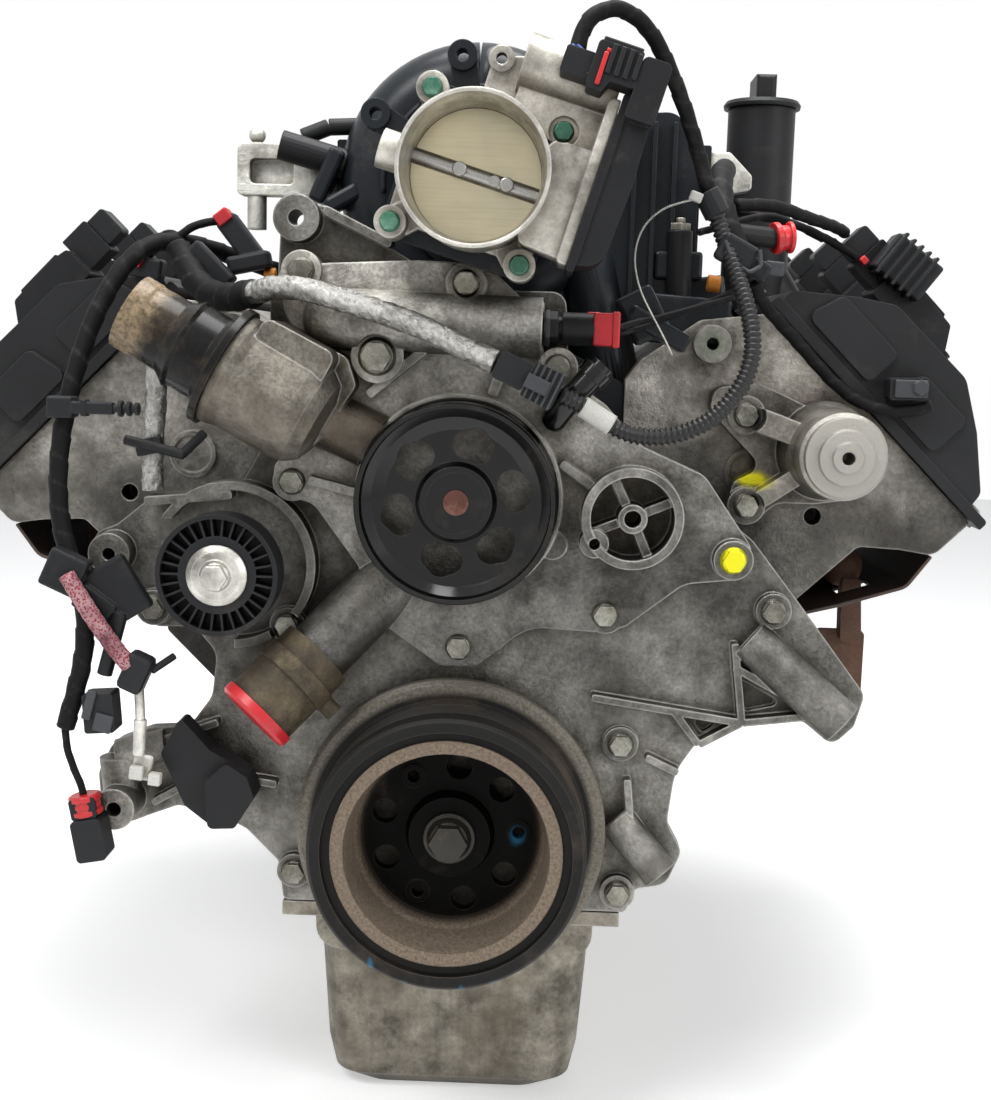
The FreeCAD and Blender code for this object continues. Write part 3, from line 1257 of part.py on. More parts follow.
def pump_housing():
    body = [prism(pump_outline, 8.0, cover_front, pump_base_front),
            rod(pump_x, pump_z, pump_body_radius, cover_front, pump_body_front),
            rod(pump_x, pump_z, pump_snout_radius, pump_body_front - 1, pump_snout_front)]
    tube_start = at(manifold_tube_x, manifold_tube_depth, manifold_tube_z)
    body.append(bar(tube_start, at(51, manifold_tube_depth, 336), manifold_tube_radius))
    body.append(Part.makeSphere(manifold_tube_radius, tube_start))
    body.append(rod(stud_x, stud_z, 17.0, cover_front, stud_seat))
    body.append(bar(at(-38, 60, 174), at(-98, 92, 112), inlet_radius))
    for x, z, seat in pump_bolt_places:
        body.append(rod(x, z, m8_flange_radius + 4.0, cover_front, seat))
    wall = tensioner_radius - tensioner_wall
    body.append(rod(tensioner_x, tensioner_z, tensioner_radius, cover_front, tensioner_front))
    body.append(rod(62, 196, 10.0, cover_front, 80.0))
    for start, end in (((-60, 290), (-24, 320)), ((20, 292), (30, 322)), ((66, 250), (92, 232)),
                       ((-64, 226), (-98, 234))):
        body.append(rib(start, end, 6.0, cover_front, pump_body_front))
    housing = fuse(body)
    cuts = [tube(tensioner_x, tensioner_z, wall, 9.5, 70.0, tensioner_front + 1),
            rod(tensioner_x, tensioner_z, tensioner_hole_radius, 66.0, tensioner_front + 1),
            rod(pump_x, pump_z, pump_chamber_radius, cover_front - 1, pump_body_front - 6),
            rod(pump_x, pump_z, pump_shaft_radius + running_clearance, cover_front, pump_snout_front + 1),
            tube(pump_x, pump_z, pulley_radius + 2.0, pump_snout_radius + 1.0, pulley_rear - 2.0,
                 pulley_front + 10), bar(at(-98, 92, 112), at(-68, 76, 143), inlet_bore_radius),
            bar(at(30, 79, 336), at(53, 79, 336), sensor_hole_radius)]
    cuts.extend(front_bolt_cuts(pump_bolt_places + cover_bolt_places, cover_front - 1))
    cuts.append(rod(stud_x, stud_z, stud_shank + bolt_hole_clearance, cover_front - 1, stud_seat + 1))
    cuts.append(head_room(at(stud_x, stud_seat, stud_z), ahead_way, 14.0, 30.0))
    cuts.append(Part.makeBox(500.0, 100.0, 500.0, v(-250.0, front(cover_front), 0.0)))
    housing = largest(cut(housing, cuts))
    spokes = []
    for degrees in (23, 116, 202, 294):
        angle = math.radians(degrees)
        start = (tensioner_x + 8.5 * math.cos(angle), tensioner_z + 8.5 * math.sin(angle))
        end = (tensioner_x + (wall + 2) * math.cos(angle), tensioner_z + (wall + 2) * math.sin(angle))
        spokes.append(rib(start, end, 6.0, 69.0, tensioner_front - 8))
    pin_x = tensioner_x - 24.0
    pin_z = tensioner_z - 17.0
    spokes.append(rod(pin_x, pin_z, 9.5, 69.0, tensioner_front - 3))
    housing = fuse([housing] + spokes)
    return cut(housing, [rod(pin_x, pin_z, 3.6, 76.0, tensioner_front + 1)])


def temperature_sensor():
    start = at(52, 79, 336)
    way = v(1, 0, 0)
    hexagon = bolt(start, way, 19.0, 9.0, 11.0, sensor_hole_radius - 0.2, 14.0)
    body = turned([(0, 8.5), (8, 8.5), (8, 12), (10.5, 12), (10.5, 32), (8.5, 34), (0, 34)], start, way)
    return fuse([hexagon, body])


def bypass_hose():
    """short moulded hose that leaves the pump housing forwards and turns up to the right"""
    places = [at(61, pump_base_front, 279), at(61, 94, 279), at(68, 99, 289), at(90, 98, 314)]
    body = [bar(start, end, hose_radius) for start, end in zip(places, places[1:])]
    body.extend(Part.makeSphere(hose_radius, place) for place in places[1:-1])
    way = places[-1] - places[-2]
    way.normalize()
    body.append(bar(places[-1] - way * 12, places[-1] - way * 4, hose_radius + 2))
    return cut(fuse(body), [bar(places[-1] - way * 20, places[-1] + way, hose_radius - 3)])


def lower_sensor():
    """plastic sensor body standing ahead of the cover's lower left arm on its own foot"""
    outline = [(-193, 50), (-180, 75), (-160, 53), (-136, 40), (-131, 24), (-143, 5), (-160, 2), (-177, 15)]
    lower = [(-162, 34), (-148, 47), (-134, 38), (-129, 24), (-142, 3), (-160, 2)]
    body = [prism(outline, 3.0, cover_front + 16, cover_front + 34),
            prism(lower, 4.0, cover_front + 16, cover_front + 42),
            rod(-178, 45, 7.0, cover_front, cover_front + 17)]
    return fuse(body)


def pump_stud():
    return bolt(at(stud_x, stud_seat, stud_z), ahead_way, 17.0, 9.0, 12.5, stud_shank, stud_grip)


def pump_shaft():
    return rod(pump_x, pump_z, pump_shaft_radius, cover_front + 4, pulley_web_front)


def pump_impeller():
    rear = cover_front + 4
    hub = rod(pump_x, pump_z, 14.0, rear, rear + 11)
    plate = rod(pump_x, pump_z, pump_chamber_radius - 4, rear + 8, rear + 11)
    vanes = []
    for index in range(6):
        vane = rib((12, 0), (pump_chamber_radius - 6, 6), 3.0, rear, rear + 9)
        vane.translate(v(pump_x, 0, pump_z))
        vane.rotate(v(pump_x, 0, pump_z), v(0, 1, 0), 60 * index)
        vanes.append(vane)
    wheel = fuse([hub, plate] + vanes)
    return wheel.cut(rod(pump_x, pump_z, pump_shaft_radius, rear - 1, rear + 12))


def pump_pulley():
    wall = pulley_wall
    web = pulley_web_front
    profile = [(pump_shaft_radius, pump_snout_front + 2), (17, pump_snout_front + 2), (21, web - 5),
               (24, web - 8), (46, web - 8), (54, web - 6), (pulley_radius - wall, web - 14),
               (pulley_radius - wall, pulley_rear + wall), (pulley_radius, pulley_rear),
               (pulley_radius + 2.0, pulley_rear), (pulley_radius + 1.0, pulley_rear + 3),
               (pulley_radius, pulley_rear + 4), (pulley_radius, pulley_front - 2),
               (pulley_radius - 1, pulley_front), (pulley_radius - wall - 1, pulley_front),
               (pulley_radius - wall - 1.5, web + 2), (54, web - 3), (46, web - 5), (26, web - 5),
               (23, web), (19, web), (19, web - 2), (pump_shaft_radius, web - 2)]
    pulley = turned_ahead(profile, pump_x, pump_z)
    holes = []
    for degrees in pulley_hole_degrees:
        angle = math.radians(degrees)
        x = pump_x + pulley_hole_circle * math.cos(angle)
        z = pump_z + pulley_hole_circle * math.sin(angle)
        holes.append(fuse([rod(x + dx, z + dz, pulley_hole_radius, web - 20, web + 5) for dx,
                           dz in ((4 * math.sin(angle), -4 * math.cos(angle)),
                                  (-4 * math.sin(angle), 4 * math.cos(angle)),
                                  (2.5 * math.cos(angle), 2.5 * math.sin(angle)))]))
    return cut(pulley, holes)


def thermostat_housing():
    body = [prism(thermostat_outline, 6.0, cover_front + joint_gap, thermostat_front)]
    way = neck_way()
    start = at(neck_start_x, neck_depth, neck_start_z)
    low = -housing_length
    body.append(turned([(0, low - 8), (16, low - 8), (27, low - 5), (33, low + 3),
                        (housing_radius, low + 12), (housing_radius, -12), (housing_radius + 2, -5),
                        (housing_radius + 2, 0), (0, 0)], start, way))
    body.append(rib((-124, 328), (-80, 306), 22.0, cover_front + joint_gap, neck_depth + 22))
    body.append(bar(at(-96, neck_depth - 20, 278), at(-52, cover_front + 16, 258), 19.0))
    solid = fuse(body)
    keep_off = rod(pump_x, pump_z, pulley_radius + 3.0, pulley_rear - 3, pulley_front + 10)
    behind = Part.makeBox(400, 200, 400, v(-300, front(cover_front + joint_gap), 100))
    beyond = turned([(0, 0), (90, 0), (90, 90), (0, 90)], start, way)
    return largest(cut(solid, [pump_solid_for_cut(), keep_off, behind, beyond]))


def pump_solid_for_cut():
    base = prism(pump_outline, 8.0, cover_front - 1, pump_base_front + joint_gap)
    tube_start = at(manifold_tube_x, manifold_tube_depth, manifold_tube_z)
    grown = manifold_tube_radius + 0.3
    return fuse([base, bar(tube_start, at(51, manifold_tube_depth, 336), grown),
                 Part.makeSphere(grown, tube_start), rod(stud_x, stud_z, 17.3, cover_front, stud_seat + 20),
                 rod(pump_x, pump_z, pump_body_radius + 0.3, cover_front, 90.0),
                 rod(-110.0, 232.0, m8_flange_radius + 5.0, cover_front - 1, 100.0)])


def neck_way():
    lean = math.radians(neck_lean)
    return v(-math.cos(lean), 0, math.sin(lean))


def coolant_neck():
    profile = [(neck_bore, 0), (neck_flange_radius, 0), (neck_flange_radius, 5), (31, 7), (28.5, 11),
               (28.5, 27), (30.5, 30), (28, 33), (24.5, 38), (24, neck_length - 12),
               (neck_end_radius, neck_length - 10), (neck_end_radius, neck_length),
               (neck_bore, neck_length)]
    return turned(profile, at(neck_start_x, neck_depth, neck_start_z) + neck_way() * joint_gap, neck_way())


def inlet_way():
    way = at(-98, 92, 112) - at(-38, 60, 174)
    way.normalize()
    return way


def inlet_coupling():
    start = at(-98, 92, 112)
    way = inlet_way()
    sleeve = turned([(22.2, -12), (25.5, -12), (25.5, 40), (19, 40), (19, 1), (22.2, 1)], start, way)
    clamp = turned([(25.6, 2), (27.5, 2), (27.5, 14), (25.6, 14)], start, way)
    side = v(way.x, way.y, way.z).cross(v(0, 1, 0))
    side.normalize()
    block = bar(start + way * 8 + side * 26, start + way * 8 + side * 36, 6.0)
    return Part.makeCompound([sleeve, fuse([clamp, block])])


def inlet_cap():
    start = at(-98, 92, 112)
    return turned([(0, 40.2), (27, 40.2), (27, 46), (25, 48), (0, 48)], start, inlet_way())


def idler_pulley():
    rear = idler_front - idler_width
    rim = tube(idler_x, idler_z, idler_radius, idler_radius - 3, rear, idler_front)
    hub = tube(idler_x, idler_z, 25.0, 17.55, rear + 2, idler_front - 2)
    web = tube(idler_x, idler_z, idler_radius - 1, 24.0, rear + 9, rear + 12)
    ribs = []
    for index in range(idler_rib_count):
        blade = Part.makeBox(idler_radius - 26.0, idler_width - 5, 1.4,
                             at(idler_x + 24.5, idler_front - 2, idler_z - 0.7))
        blade.rotate(v(idler_x, 0, idler_z), v(0, 1, 0), 360.0 * index / idler_rib_count)
        ribs.append(blade)
    return fuse([rim, hub, web] + ribs)


def idler_bearing():
    rear = idler_front - idler_width
    return tube(idler_x, idler_z, 17.5, 8.05, rear + 3, idler_front - 5)


def idler_bolt():
    rear = idler_front - idler_width
    spacer = tube(idler_x, idler_z, 8.0, 5.0, rear - 1.0, idler_front - 4.0)
    cap = turned_ahead([(5.05, idler_front - 4), (16.5, idler_front - 4), (16.5, idler_front - 1.6),
                        (idler_cap_radius, idler_front - 1.6), (idler_cap_radius, idler_front - 0.4),
                        (idler_cap_radius - 4, idler_front + 2), (5.05, idler_front + 2)], idler_x, idler_z)
    screw = bolt(at(idler_x, idler_front + 2, idler_z), ahead_way, 15.0, 8.0, 10.5, 5.0, 44.0)
    return Part.makeCompound([spacer, cap, screw])


def pulley_bracket():
    outline = [(-78, 41, 12), (-48, 45, 12), (-16, 31, 30), (32, 3, 20), (36, -15, 12), (22, -33, 12),
               (-6, -37, 12), (-32, -37, 16), (-46, -51, 10), (-66, -45, 10), (-62, -23, 8), (-42, -13, 10),
               (-58, 3, 14), (-80, 25, 10)]
    body = [prism([(bracket_x + x, bracket_z + z, radius) for x, z, radius in outline], 8.0, 0.2, 20.0)]
    body.append(turned_ahead([(0, 0.2), (34, 0.2), (34, 20), (30, 34), (28.5, 60),
                              (28.5, bracket_front - 14), (26, bracket_front - 12), (26, bracket_front - 6),
                              (18, bracket_front - 5), (18, bracket_front - 1), (10, bracket_front),
                              (10, bracket_front + 2), (0, bracket_front + 2)], bracket_x, bracket_z))
    upper, lower = [(x, z) for x, z, seat in bracket_bolt_places]
    body.append(rib(upper, (bracket_x - 16, bracket_z + 9), 16.0, 10.0, 44.0))
    body.append(rib(lower, (bracket_x - 12, bracket_z - 11), 12.0, 10.0, 36.0))
    for x, z, seat in bracket_bolt_places:
        body.append(rod(x, z, m8_flange_radius + 4.0, 0.2, seat))
    solid = fuse(body)
    cuts = [rod(bracket_x, bracket_z, bracket_hole_radius, bracket_front - 24, bracket_front + 3),
            rod(bracket_x + 24, bracket_z - 20, 5.0, 10.0, 24.0)]
    cuts.extend(front_bolt_cuts(bracket_bolt_places, 0.0))
    x, z = bank_xz(1, head_rail - 48, -114)
    cuts.append(rod(x, z, 13.6, 0.0, 30.0))
    x, z = bank_xz(1, deck_height + 76, -30)
    cuts.append(rod(x, z, 17.6, 0.0, 3.0))
    return cut(solid, cuts)


def loom(points, radius):
    """a loom or conduit of one round section: straight runs joined by arcs that touch both of them"""
    bends = [at(x, depth, z) for x, depth, z in points]
    edges = []
    radii = []
    start = bends[0]
    for before, here, after in zip(bends, bends[1:], bends[2:]):
        back = before - here
        ahead = after - here
        half_turn = (math.pi - back.getAngle(ahead)) / 2
        reach = 0.45 * min(back.Length, ahead.Length)
        back.normalize()
        ahead.normalize()
        bend_radius = reach / math.tan(half_turn)
        middle = back + ahead
        middle.normalize()
        crown = here + middle * (bend_radius / math.cos(half_turn) - bend_radius)
        edges.append(Part.LineSegment(start, here + back * reach).toShape())
        edges.append(Part.Arc(here + back * reach, crown, here + ahead * reach).toShape())
        radii.append(round(bend_radius))
        start = here + ahead * reach
    edges.append(Part.LineSegment(start, bends[-1]).toShape())
    line = Part.Wire(edges)
    ring = Part.Wire([Part.Circle(bends[0], bends[1] - bends[0], radius).toShape()])
    sweep = Part.BRepOffsetAPI.MakePipeShell(line)
    sweep.add(ring)
    sweep.build()
    sweep.makeSolid()
    solid = sweep.shape()
    section = math.pi * radius ** 2
    print("loom", round(line.Length), "mm long, volume", round(solid.Volume / (section * line.Length), 3),
          "of section times length, bend radii", radii)
    return solid


def loom_arch():
    return loom(arch_points, arch_radius)


def loom_conduit():
    return loom(conduit_points, conduit_radius)


def loom_foil():
    return loom(foil_points, foil_radius)


def loom_left():
    return Part.makeCompound([loom(left_loom_points, left_loom_radius),
                              loom(plug_lead_points, plug_lead_radius)])


def loom_right():
    return Part.makeCompound([loom(right_trunk_points, right_trunk_radius),
                              loom(rail_strand_points, cover_strand_radius),
                              loom(coil_strand_points, cover_strand_radius)])


def slanted_box(start, end, half, rear, ahead, radius=2.0):
    """box of this half width round the line from start to end, seen from the front"""
    along = v(end[0] - start[0], 0, end[1] - start[1])
    along.normalize()
    x, z = along.z * half, -along.x * half
    outline = [(start[0] + x, start[1] + z, radius), (end[0] + x, end[1] + z, radius),
               (end[0] - x, end[1] - z, radius), (start[0] - x, start[1] - z, radius)]
    return prism(outline, radius, rear, ahead)


def loom_connectors():
    foil_end = (foil_points[-1][0], foil_points[-1][2])
    conduit_end = (conduit_points[-1][0], conduit_points[-1][2])
    gap = v(conduit_end[0] - foil_end[0], 0, conduit_end[1] - foil_end[1])
    gap.normalize()
    near = (foil_end[0] + gap.x * loom_end_gap, foil_end[1] + gap.z * loom_end_gap)
    middle = (foil_end[0] + gap.x * 22, foil_end[1] + gap.z * 22)
    beyond = (middle[0] + gap.x * connector_gap, middle[1] + gap.z * connector_gap)
    far = (conduit_end[0] - gap.x * loom_end_gap, conduit_end[1] - gap.z * loom_end_gap)
    solids = [slanted_box(near, middle, 9.0, 112.0, 131.0), slanted_box(beyond, far, 11.5, 111.0, 132.0)]
    solids.append(slanted_box((-242.0, 22.0), (-239.3, 8.2), 8.5, 93.5, 110.5))
    solids.append(slanted_box((-239.2, 7.9), (-234.0, -20.0), 10.0, 92.0, 112.0, 3.0))
    solids.append(slanted_box((-230.4, 93.0), (-228.4, 67.0), 10.0, 93.0, 111.0))
    solids.append(slanted_box((288.0, 302.5), (314.0, 303.0), 7.5, 10.0 + connector_gap, 26.0))
    seat = valve_cover_top + coil_pad
    top = seat + coil_height
    plug = [(seat + 8, -96, 3), (top + 3, -96, 3), (top + 3, -80.2, 1), (seat + 8, -80.2, 1)]
    for side, side_front in bank_sides:
        for depth in coil_depths(side_front):
            solids.append(bank_prism(side, plug, 2.0, depth - 10, depth + 10))
    return Part.makeCompound(solids)


def front_flange_bolts():
    bolts = [m8(at(x, seat, z), ahead_way) for x, z,
             seat in pump_bolt_places + cover_bolt_places + bracket_bolt_places]
    bolts.append(pump_stud())
    return Part.makeCompound(bolts)


def exhaust_manifold(side, side_front):
    body = []
    log_height = deck_height + exhaust_log_rise
    log_across = exhaust_log_across
    for index in range(4):
        depth = bore_depth(side_front, index)
        flange = [(deck_height + 53, 58, 1), (deck_height + 95, 58, 1), (deck_height + 95, 69, 4),
                  (deck_height + 53, 69, 4)]
        body.append(bank_prism(side, flange, 3.0, depth - 36, depth + 36))
        body.append(bar(bank_vector(side, deck_height + 73, 60, depth),
                        bank_vector(side, log_height, log_across, depth - 10), exhaust_log_radius - 1))
    first = bore_depth(side_front, 0) + 6
    last = bore_depth(side_front, 3)
    log_start = bank_vector(side, log_height, log_across, first)
    body.append(bar(log_start, bank_vector(side, log_height, log_across, last - 30), exhaust_log_radius))
    body.append(Part.makeSphere(exhaust_log_radius, log_start))
    outlet_top = bank_vector(side, log_height - 4, log_across + 6, last - 30)
    outlet_low = outlet_top - v(0, 0, exhaust_outlet_drop)
    body.append(bar(outlet_top, outlet_low, exhaust_outlet_radius))
    body.append(Part.makeSphere(exhaust_outlet_radius, outlet_top))
    body.append(bar(outlet_low, outlet_low + v(0, 0, -10), 32.0))
    for along in (-1, 1):
        body.append(Part.makeCylinder(11.0, 10.0, outlet_low + v(0, along * 35, -10)))
    if side > 0:
        body.append(prism([(281, 112, 4), (297, 112, 4), (294, 160, 2), (280, 160, 2)], 3.0, -66.0, -52.0))
        body.append(prism([(264, 66, 5), (301, 66, 5), (301, 120, 5), (264, 120, 5)], 4.0, -66.0, -61.0))
    solid = fuse(body)
    cuts = [head_solid(side, side_front),
            bar(outlet_low + v(0, 0, -11), outlet_low + v(0, 0, 40), exhaust_outlet_radius - 4)]
    for along in (-1, 1):
        cuts.append(Part.makeCylinder(5.0, 14.0, outlet_low + v(0, along * 35, -12)))
    return largest(cut(solid, cuts))


def heat_shields():
    shields = []
    for side, side_front in bank_sides:
        foot = deck_height + 36
        top = head_rail - 34
        outside = [(foot, 75, 2), (foot + 22, 88, 12), (top - 28, 111.4, 14), (top, 107, 3)]
        inside = [(top, 104.8, 1), (top - 27.6, 109.1, 12), (foot + 22.8, 85.9, 10), (foot + 0.9, 73, 1)]
        rear = bore_depth(side_front, 3) + 4
        shield = bank_prism(side, outside + inside, 6.0, rear, side_front - 12)
        if side > 0:
            shield = largest(shield.cut(Part.makeBox(24.0, 20.0, 60.0, at(276.0, -49.0, 105.0))))
        shields.append(shield)
    return Part.makeCompound(shields)


def build():
    makers = [(engine_block, "engine_block"), (main_bearing_caps, "main_bearing_caps"),
              (main_bearings, "main_bearing_shells"), (crankshaft, "crankshaft"), (camshaft, "camshaft"),
              (timing_chain, "timing_chain"), (oil_pump, "oil_pump"), (timing_cover, "timing_cover"),
              (front_seal, "front_seal"), (damper_hub, "damper_hub"), (damper_rubber, "damper_rubber"),
              (damper_ring, "damper_ring"), (damper_bolt, "damper_bolt"), (oil_pan, "oil_pan"),
              (oil_pan_bolts, "oil_pan_bolts"), (head_gaskets, "head_gaskets"),
              (valve_cover_bolts, "valve_cover_bolts"), (ignition_coils, "ignition_coils"),
              (oil_filler_neck, "oil_filler_neck"), (oil_filler_cap, "oil_filler_cap"),
              (intake_manifold, "intake_manifold"), (throttle_body, "throttle_body"),
              (throttle_bolts, "throttle_bolts"), (throttle_shaft, "throttle_shaft"),
              (throttle_plate, "throttle_plate"), (throttle_screws, "throttle_screws"),
              (throttle_gear_cover, "throttle_gear_cover"), (throttle_connector, "throttle_connector"),
              (pump_housing, "pump_housing"), (temperature_sensor, "temperature_sensor"),
              (pump_shaft, "pump_shaft"), (pump_impeller, "pump_impeller"), (pump_pulley, "pump_pulley"),
              (thermostat_housing, "thermostat_housing"), (coolant_neck, "coolant_neck"),
              (inlet_coupling, "inlet_coupling"), (inlet_cap, "inlet_cap"), (idler_pulley, "idler_pulley"),
              (idler_bearing, "idler_bearing"), (idler_bolt, "idler_bolt"),
              (pulley_bracket, "pulley_bracket"), (front_flange_bolts, "front_flange_bolts"),
              (heat_shields, "heat_shields"), (loom_arch, "loom_arch"), (loom_conduit, "loom_conduit"),
              (loom_foil, "loom_foil"), (loom_left, "loom_left"), (loom_right, "loom_right"),
              (loom_connectors, "loom_connectors"), (silver_brackets, "silver_brackets"),
              (bypass_hose, "bypass_hose"), (lower_sensor, "lower_sensor")]
    for maker, name in makers:
        save(maker(), name)
    crank_bore = snout_radius + 0.02
    save(sprocket(0, 0, crank_teeth, crank_bore), "crank_sprocket")
    save(sprocket(0, cam_z, cam_teeth, 12.02), "cam_sprocket")
    for name, side, side_front in banks:
        save(cylinder_head(side, side_front), "cylinder_head_" + name)
        save(valve_cover(side, side_front), "valve_cover_" + name)
        save(exhaust_manifold(side, side_front), "exhaust_manifold_" + name)


build()
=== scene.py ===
import bpy
import bmesh
import math
import mathutils
from mathutils import Matrix, Vector


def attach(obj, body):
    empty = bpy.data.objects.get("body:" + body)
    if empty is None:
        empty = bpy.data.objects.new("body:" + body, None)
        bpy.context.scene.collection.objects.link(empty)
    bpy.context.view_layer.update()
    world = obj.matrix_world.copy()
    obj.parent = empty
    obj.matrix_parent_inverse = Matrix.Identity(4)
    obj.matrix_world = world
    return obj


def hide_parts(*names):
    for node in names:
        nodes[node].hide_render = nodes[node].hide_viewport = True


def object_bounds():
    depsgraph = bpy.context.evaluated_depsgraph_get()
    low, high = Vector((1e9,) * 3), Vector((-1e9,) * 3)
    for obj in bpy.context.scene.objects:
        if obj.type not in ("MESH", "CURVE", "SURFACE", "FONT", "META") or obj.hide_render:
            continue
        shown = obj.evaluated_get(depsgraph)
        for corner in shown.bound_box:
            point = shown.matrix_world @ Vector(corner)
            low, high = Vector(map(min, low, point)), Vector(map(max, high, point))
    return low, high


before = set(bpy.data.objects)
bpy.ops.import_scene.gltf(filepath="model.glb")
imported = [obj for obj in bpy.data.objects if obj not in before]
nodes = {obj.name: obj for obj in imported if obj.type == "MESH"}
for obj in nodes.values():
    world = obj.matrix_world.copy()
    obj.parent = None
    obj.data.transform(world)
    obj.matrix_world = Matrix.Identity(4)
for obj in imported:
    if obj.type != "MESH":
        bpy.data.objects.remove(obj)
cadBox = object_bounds()
scene = bpy.context.scene

# Camera

cameraView = {
    "place": (0.05009, -1.54569, 0.32076), "pitch": 7.789, "yaw": 1.518, "roll": 1.6, "lens": 47.65,
    "film": 36.0, "nearest": 0.05}


def addCamera(view):
    data = bpy.data.cameras.new("photoCamera")
    data.sensor_fit = "VERTICAL"
    data.sensor_height = view["film"]
    data.lens = view["lens"]
    data.clip_start = view["nearest"]
    camera = bpy.data.objects.new("photoCamera", data)
    scene.collection.objects.link(camera)
    turn = Matrix.Rotation(math.radians(view["yaw"]), 4, "Z")
    turn = turn @ Matrix.Rotation(math.radians(90 - view["pitch"]), 4, "X")
    turn = turn @ Matrix.Rotation(math.radians(view["roll"]), 4, "Z")
    camera.matrix_world = Matrix.Translation(view["place"]) @ turn
    scene.camera = camera


addCamera(cameraView)
print("camera placed")


# Small helpers for materials

# each input takes a value or the socket of another node
def fill(tree, node, inputs):
    for name, value in inputs.items():
        if isinstance(value, bpy.types.NodeSocket):
            tree.links.new(value, node.inputs[name])
        else:
            node.inputs[name].default_value = value


def addNode(tree, kind, inputs, **options):
    node = tree.nodes.new("ShaderNode" + kind)
    for name, value in options.items():
        setattr(node, name, value)
    fill(tree, node, inputs)
    return node


def newMaterial(name):
    material = bpy.data.materials.new(name)
    material.use_nodes = True
    tree = material.node_tree
    return material, tree, tree.nodes["Principled BSDF"], addNode(tree, "TexCoord", {}).outputs["Object"]


def stretched(tree, coords, scale, turn=(0, 0, 0)):
    return addNode(tree, "Mapping", {"Vector": coords, "Scale": scale, "Rotation": turn}).outputs["Vector"]


def noise(tree, coords, scale, detail=3.0, rough=0.55):
    inputs = {"Vector": coords, "Scale": scale, "Detail": detail, "Roughness": rough}
    return addNode(tree, "TexNoise", inputs).outputs["Fac"]


def cells(tree, coords, scale):
    return addNode(tree, "TexVoronoi", {"Vector": coords, "Scale": scale}).outputs["Distance"]


def grey(tone):
    return (tone, tone, tone, 1)


black = grey(0)
white = grey(1)


def ramp(tree, factor, low, high, start=black, end=white):
    node = addNode(tree, "ValToRGB", {"Fac": factor})
    for element, position, colour in zip(node.color_ramp.elements, (low, high), (start, end)):
        element.position = position
        element.color = colour
    return node.outputs["Color"]


def mix(tree, factor, first, second, blend="MIX"):
    first, second = ((*value, 1.0) if isinstance(value, tuple) else value for value in (first, second))
    node = addNode(tree, "Mix", {0: factor, 6: first, 7: second}, data_type="RGBA", blend_type=blend)
    return node.outputs[2]


def spread(tree, factor, low, high):
    return addNode(tree, "MapRange", {"Value": factor, "To Min": low, "To Max": high}).outputs["Result"]


def bumped(tree, height, distance, strength, under=None):
    inputs = {"Strength": strength, "Distance": distance, "Height": height}
    if under is not None:
        inputs["Normal"] = under
    return addNode(tree, "Bump", inputs).outputs["Normal"]


def toned(tree, colour, tone, share=1.0):
    return mix(tree, share, colour, tone, "MULTIPLY")


def scaled(colour, factor):
    return tuple(min(1.0, channel * factor) for channel in colour)


# shared by all rough surfaces: where a noise turns from dark to light, and its tones
tones = {
    "patch": (0.38, 0.66), "blotch": (0.34, 0.66), "blotchDark": (0.36, 0.35, 0.33, 1),
    "blotchLight": (1.7, 1.7, 1.68, 1), "blotchShare": 0.85, "speckle": (0.32, 0.62),
    "speckleDark": (0.25, 0.24, 0.23, 1), "grimeWidth": 0.16, "grimeGrain": (0.2, 0.7),
    "streak": (0.35, 0.65), "streakDark": (0.45, 0.42, 0.38, 1), "streakShare": 0.5, "pocket": (0.25, 0.85),
    "edgePatch": (0.3, 0.7), "edgeLeast": 0.4, "bare": (0.35, 0.65), "bareDark": 0.45, "flaky": (0.35, 0.6),
    "flakyDark": 0.35, "coatRoughness": 0.12, "bumpStrength": 0.6, "bevelCorner": (0.86, 0.99),
    "raggedNoise": 160.0}


# bright where the surface turns sharply within the radius
def edgeMask(tree, radius):
    rounded = addNode(tree, "Bevel", {"Radius": radius}, samples=4).outputs["Normal"]
    flat = addNode(tree, "NewGeometry", {}).outputs["True Normal"]
    agree = addNode(tree, "VectorMath", {0: rounded, 1: flat}, operation="DOT_PRODUCT").outputs["Value"]
    return ramp(tree, agree, *tones["bevelCorner"], white, black), rounded


# a distance made uneven by a noise
def roughened(tree, coords, distance, size, detail, uneven):
    inputs = {0: noise(tree, coords, size, detail), 1: uneven, 2: distance}
    return addNode(tree, "Math", inputs, operation="MULTIPLY_ADD").outputs["Value"]


# distance from a point, or from an axis where one scale is 0, with a ragged rim
def farFrom(tree, coords, centre, scale, ragged=0.0):
    shifted = addNode(tree, "VectorMath", {0: coords, 1: centre}, operation="SUBTRACT").outputs["Vector"]
    shaped = addNode(tree, "VectorMath", {0: shifted, 1: scale}, operation="MULTIPLY").outputs["Vector"]
    length = addNode(tree, "VectorMath", {0: shaped}, operation="LENGTH").outputs["Value"]
    return roughened(tree, coords, length, tones["raggedNoise"], 3.0, ragged)


# distance along a direction, with an uneven rim
def farAlong(tree, coords, direction, size, uneven):
    along = addNode(tree, "VectorMath", {0: coords, 1: direction}, operation="DOT_PRODUCT").outputs["Value"]
    return roughened(tree, coords, along, size, 4.0, uneven)


# a grey that changes along one axis, from the start place to the end place
def toneAlong(tree, coords, axis, start, end, startTone, endTone):
    place = addNode(tree, "SeparateXYZ", {0: coords}).outputs[axis]
    share = addNode(tree, "MapRange", {"Value": place, "From Min": start, "From Max": end}).outputs["Result"]
    return ramp(tree, share, 0.0, 1.0, grey(startTone), grey(endTone))


# painted shade: dark where the surface lies in corners and pockets
def pocketMask(tree, distance):
    return addNode(tree, "AmbientOcclusion", {"Distance": distance}, samples=6).outputs["AO"]
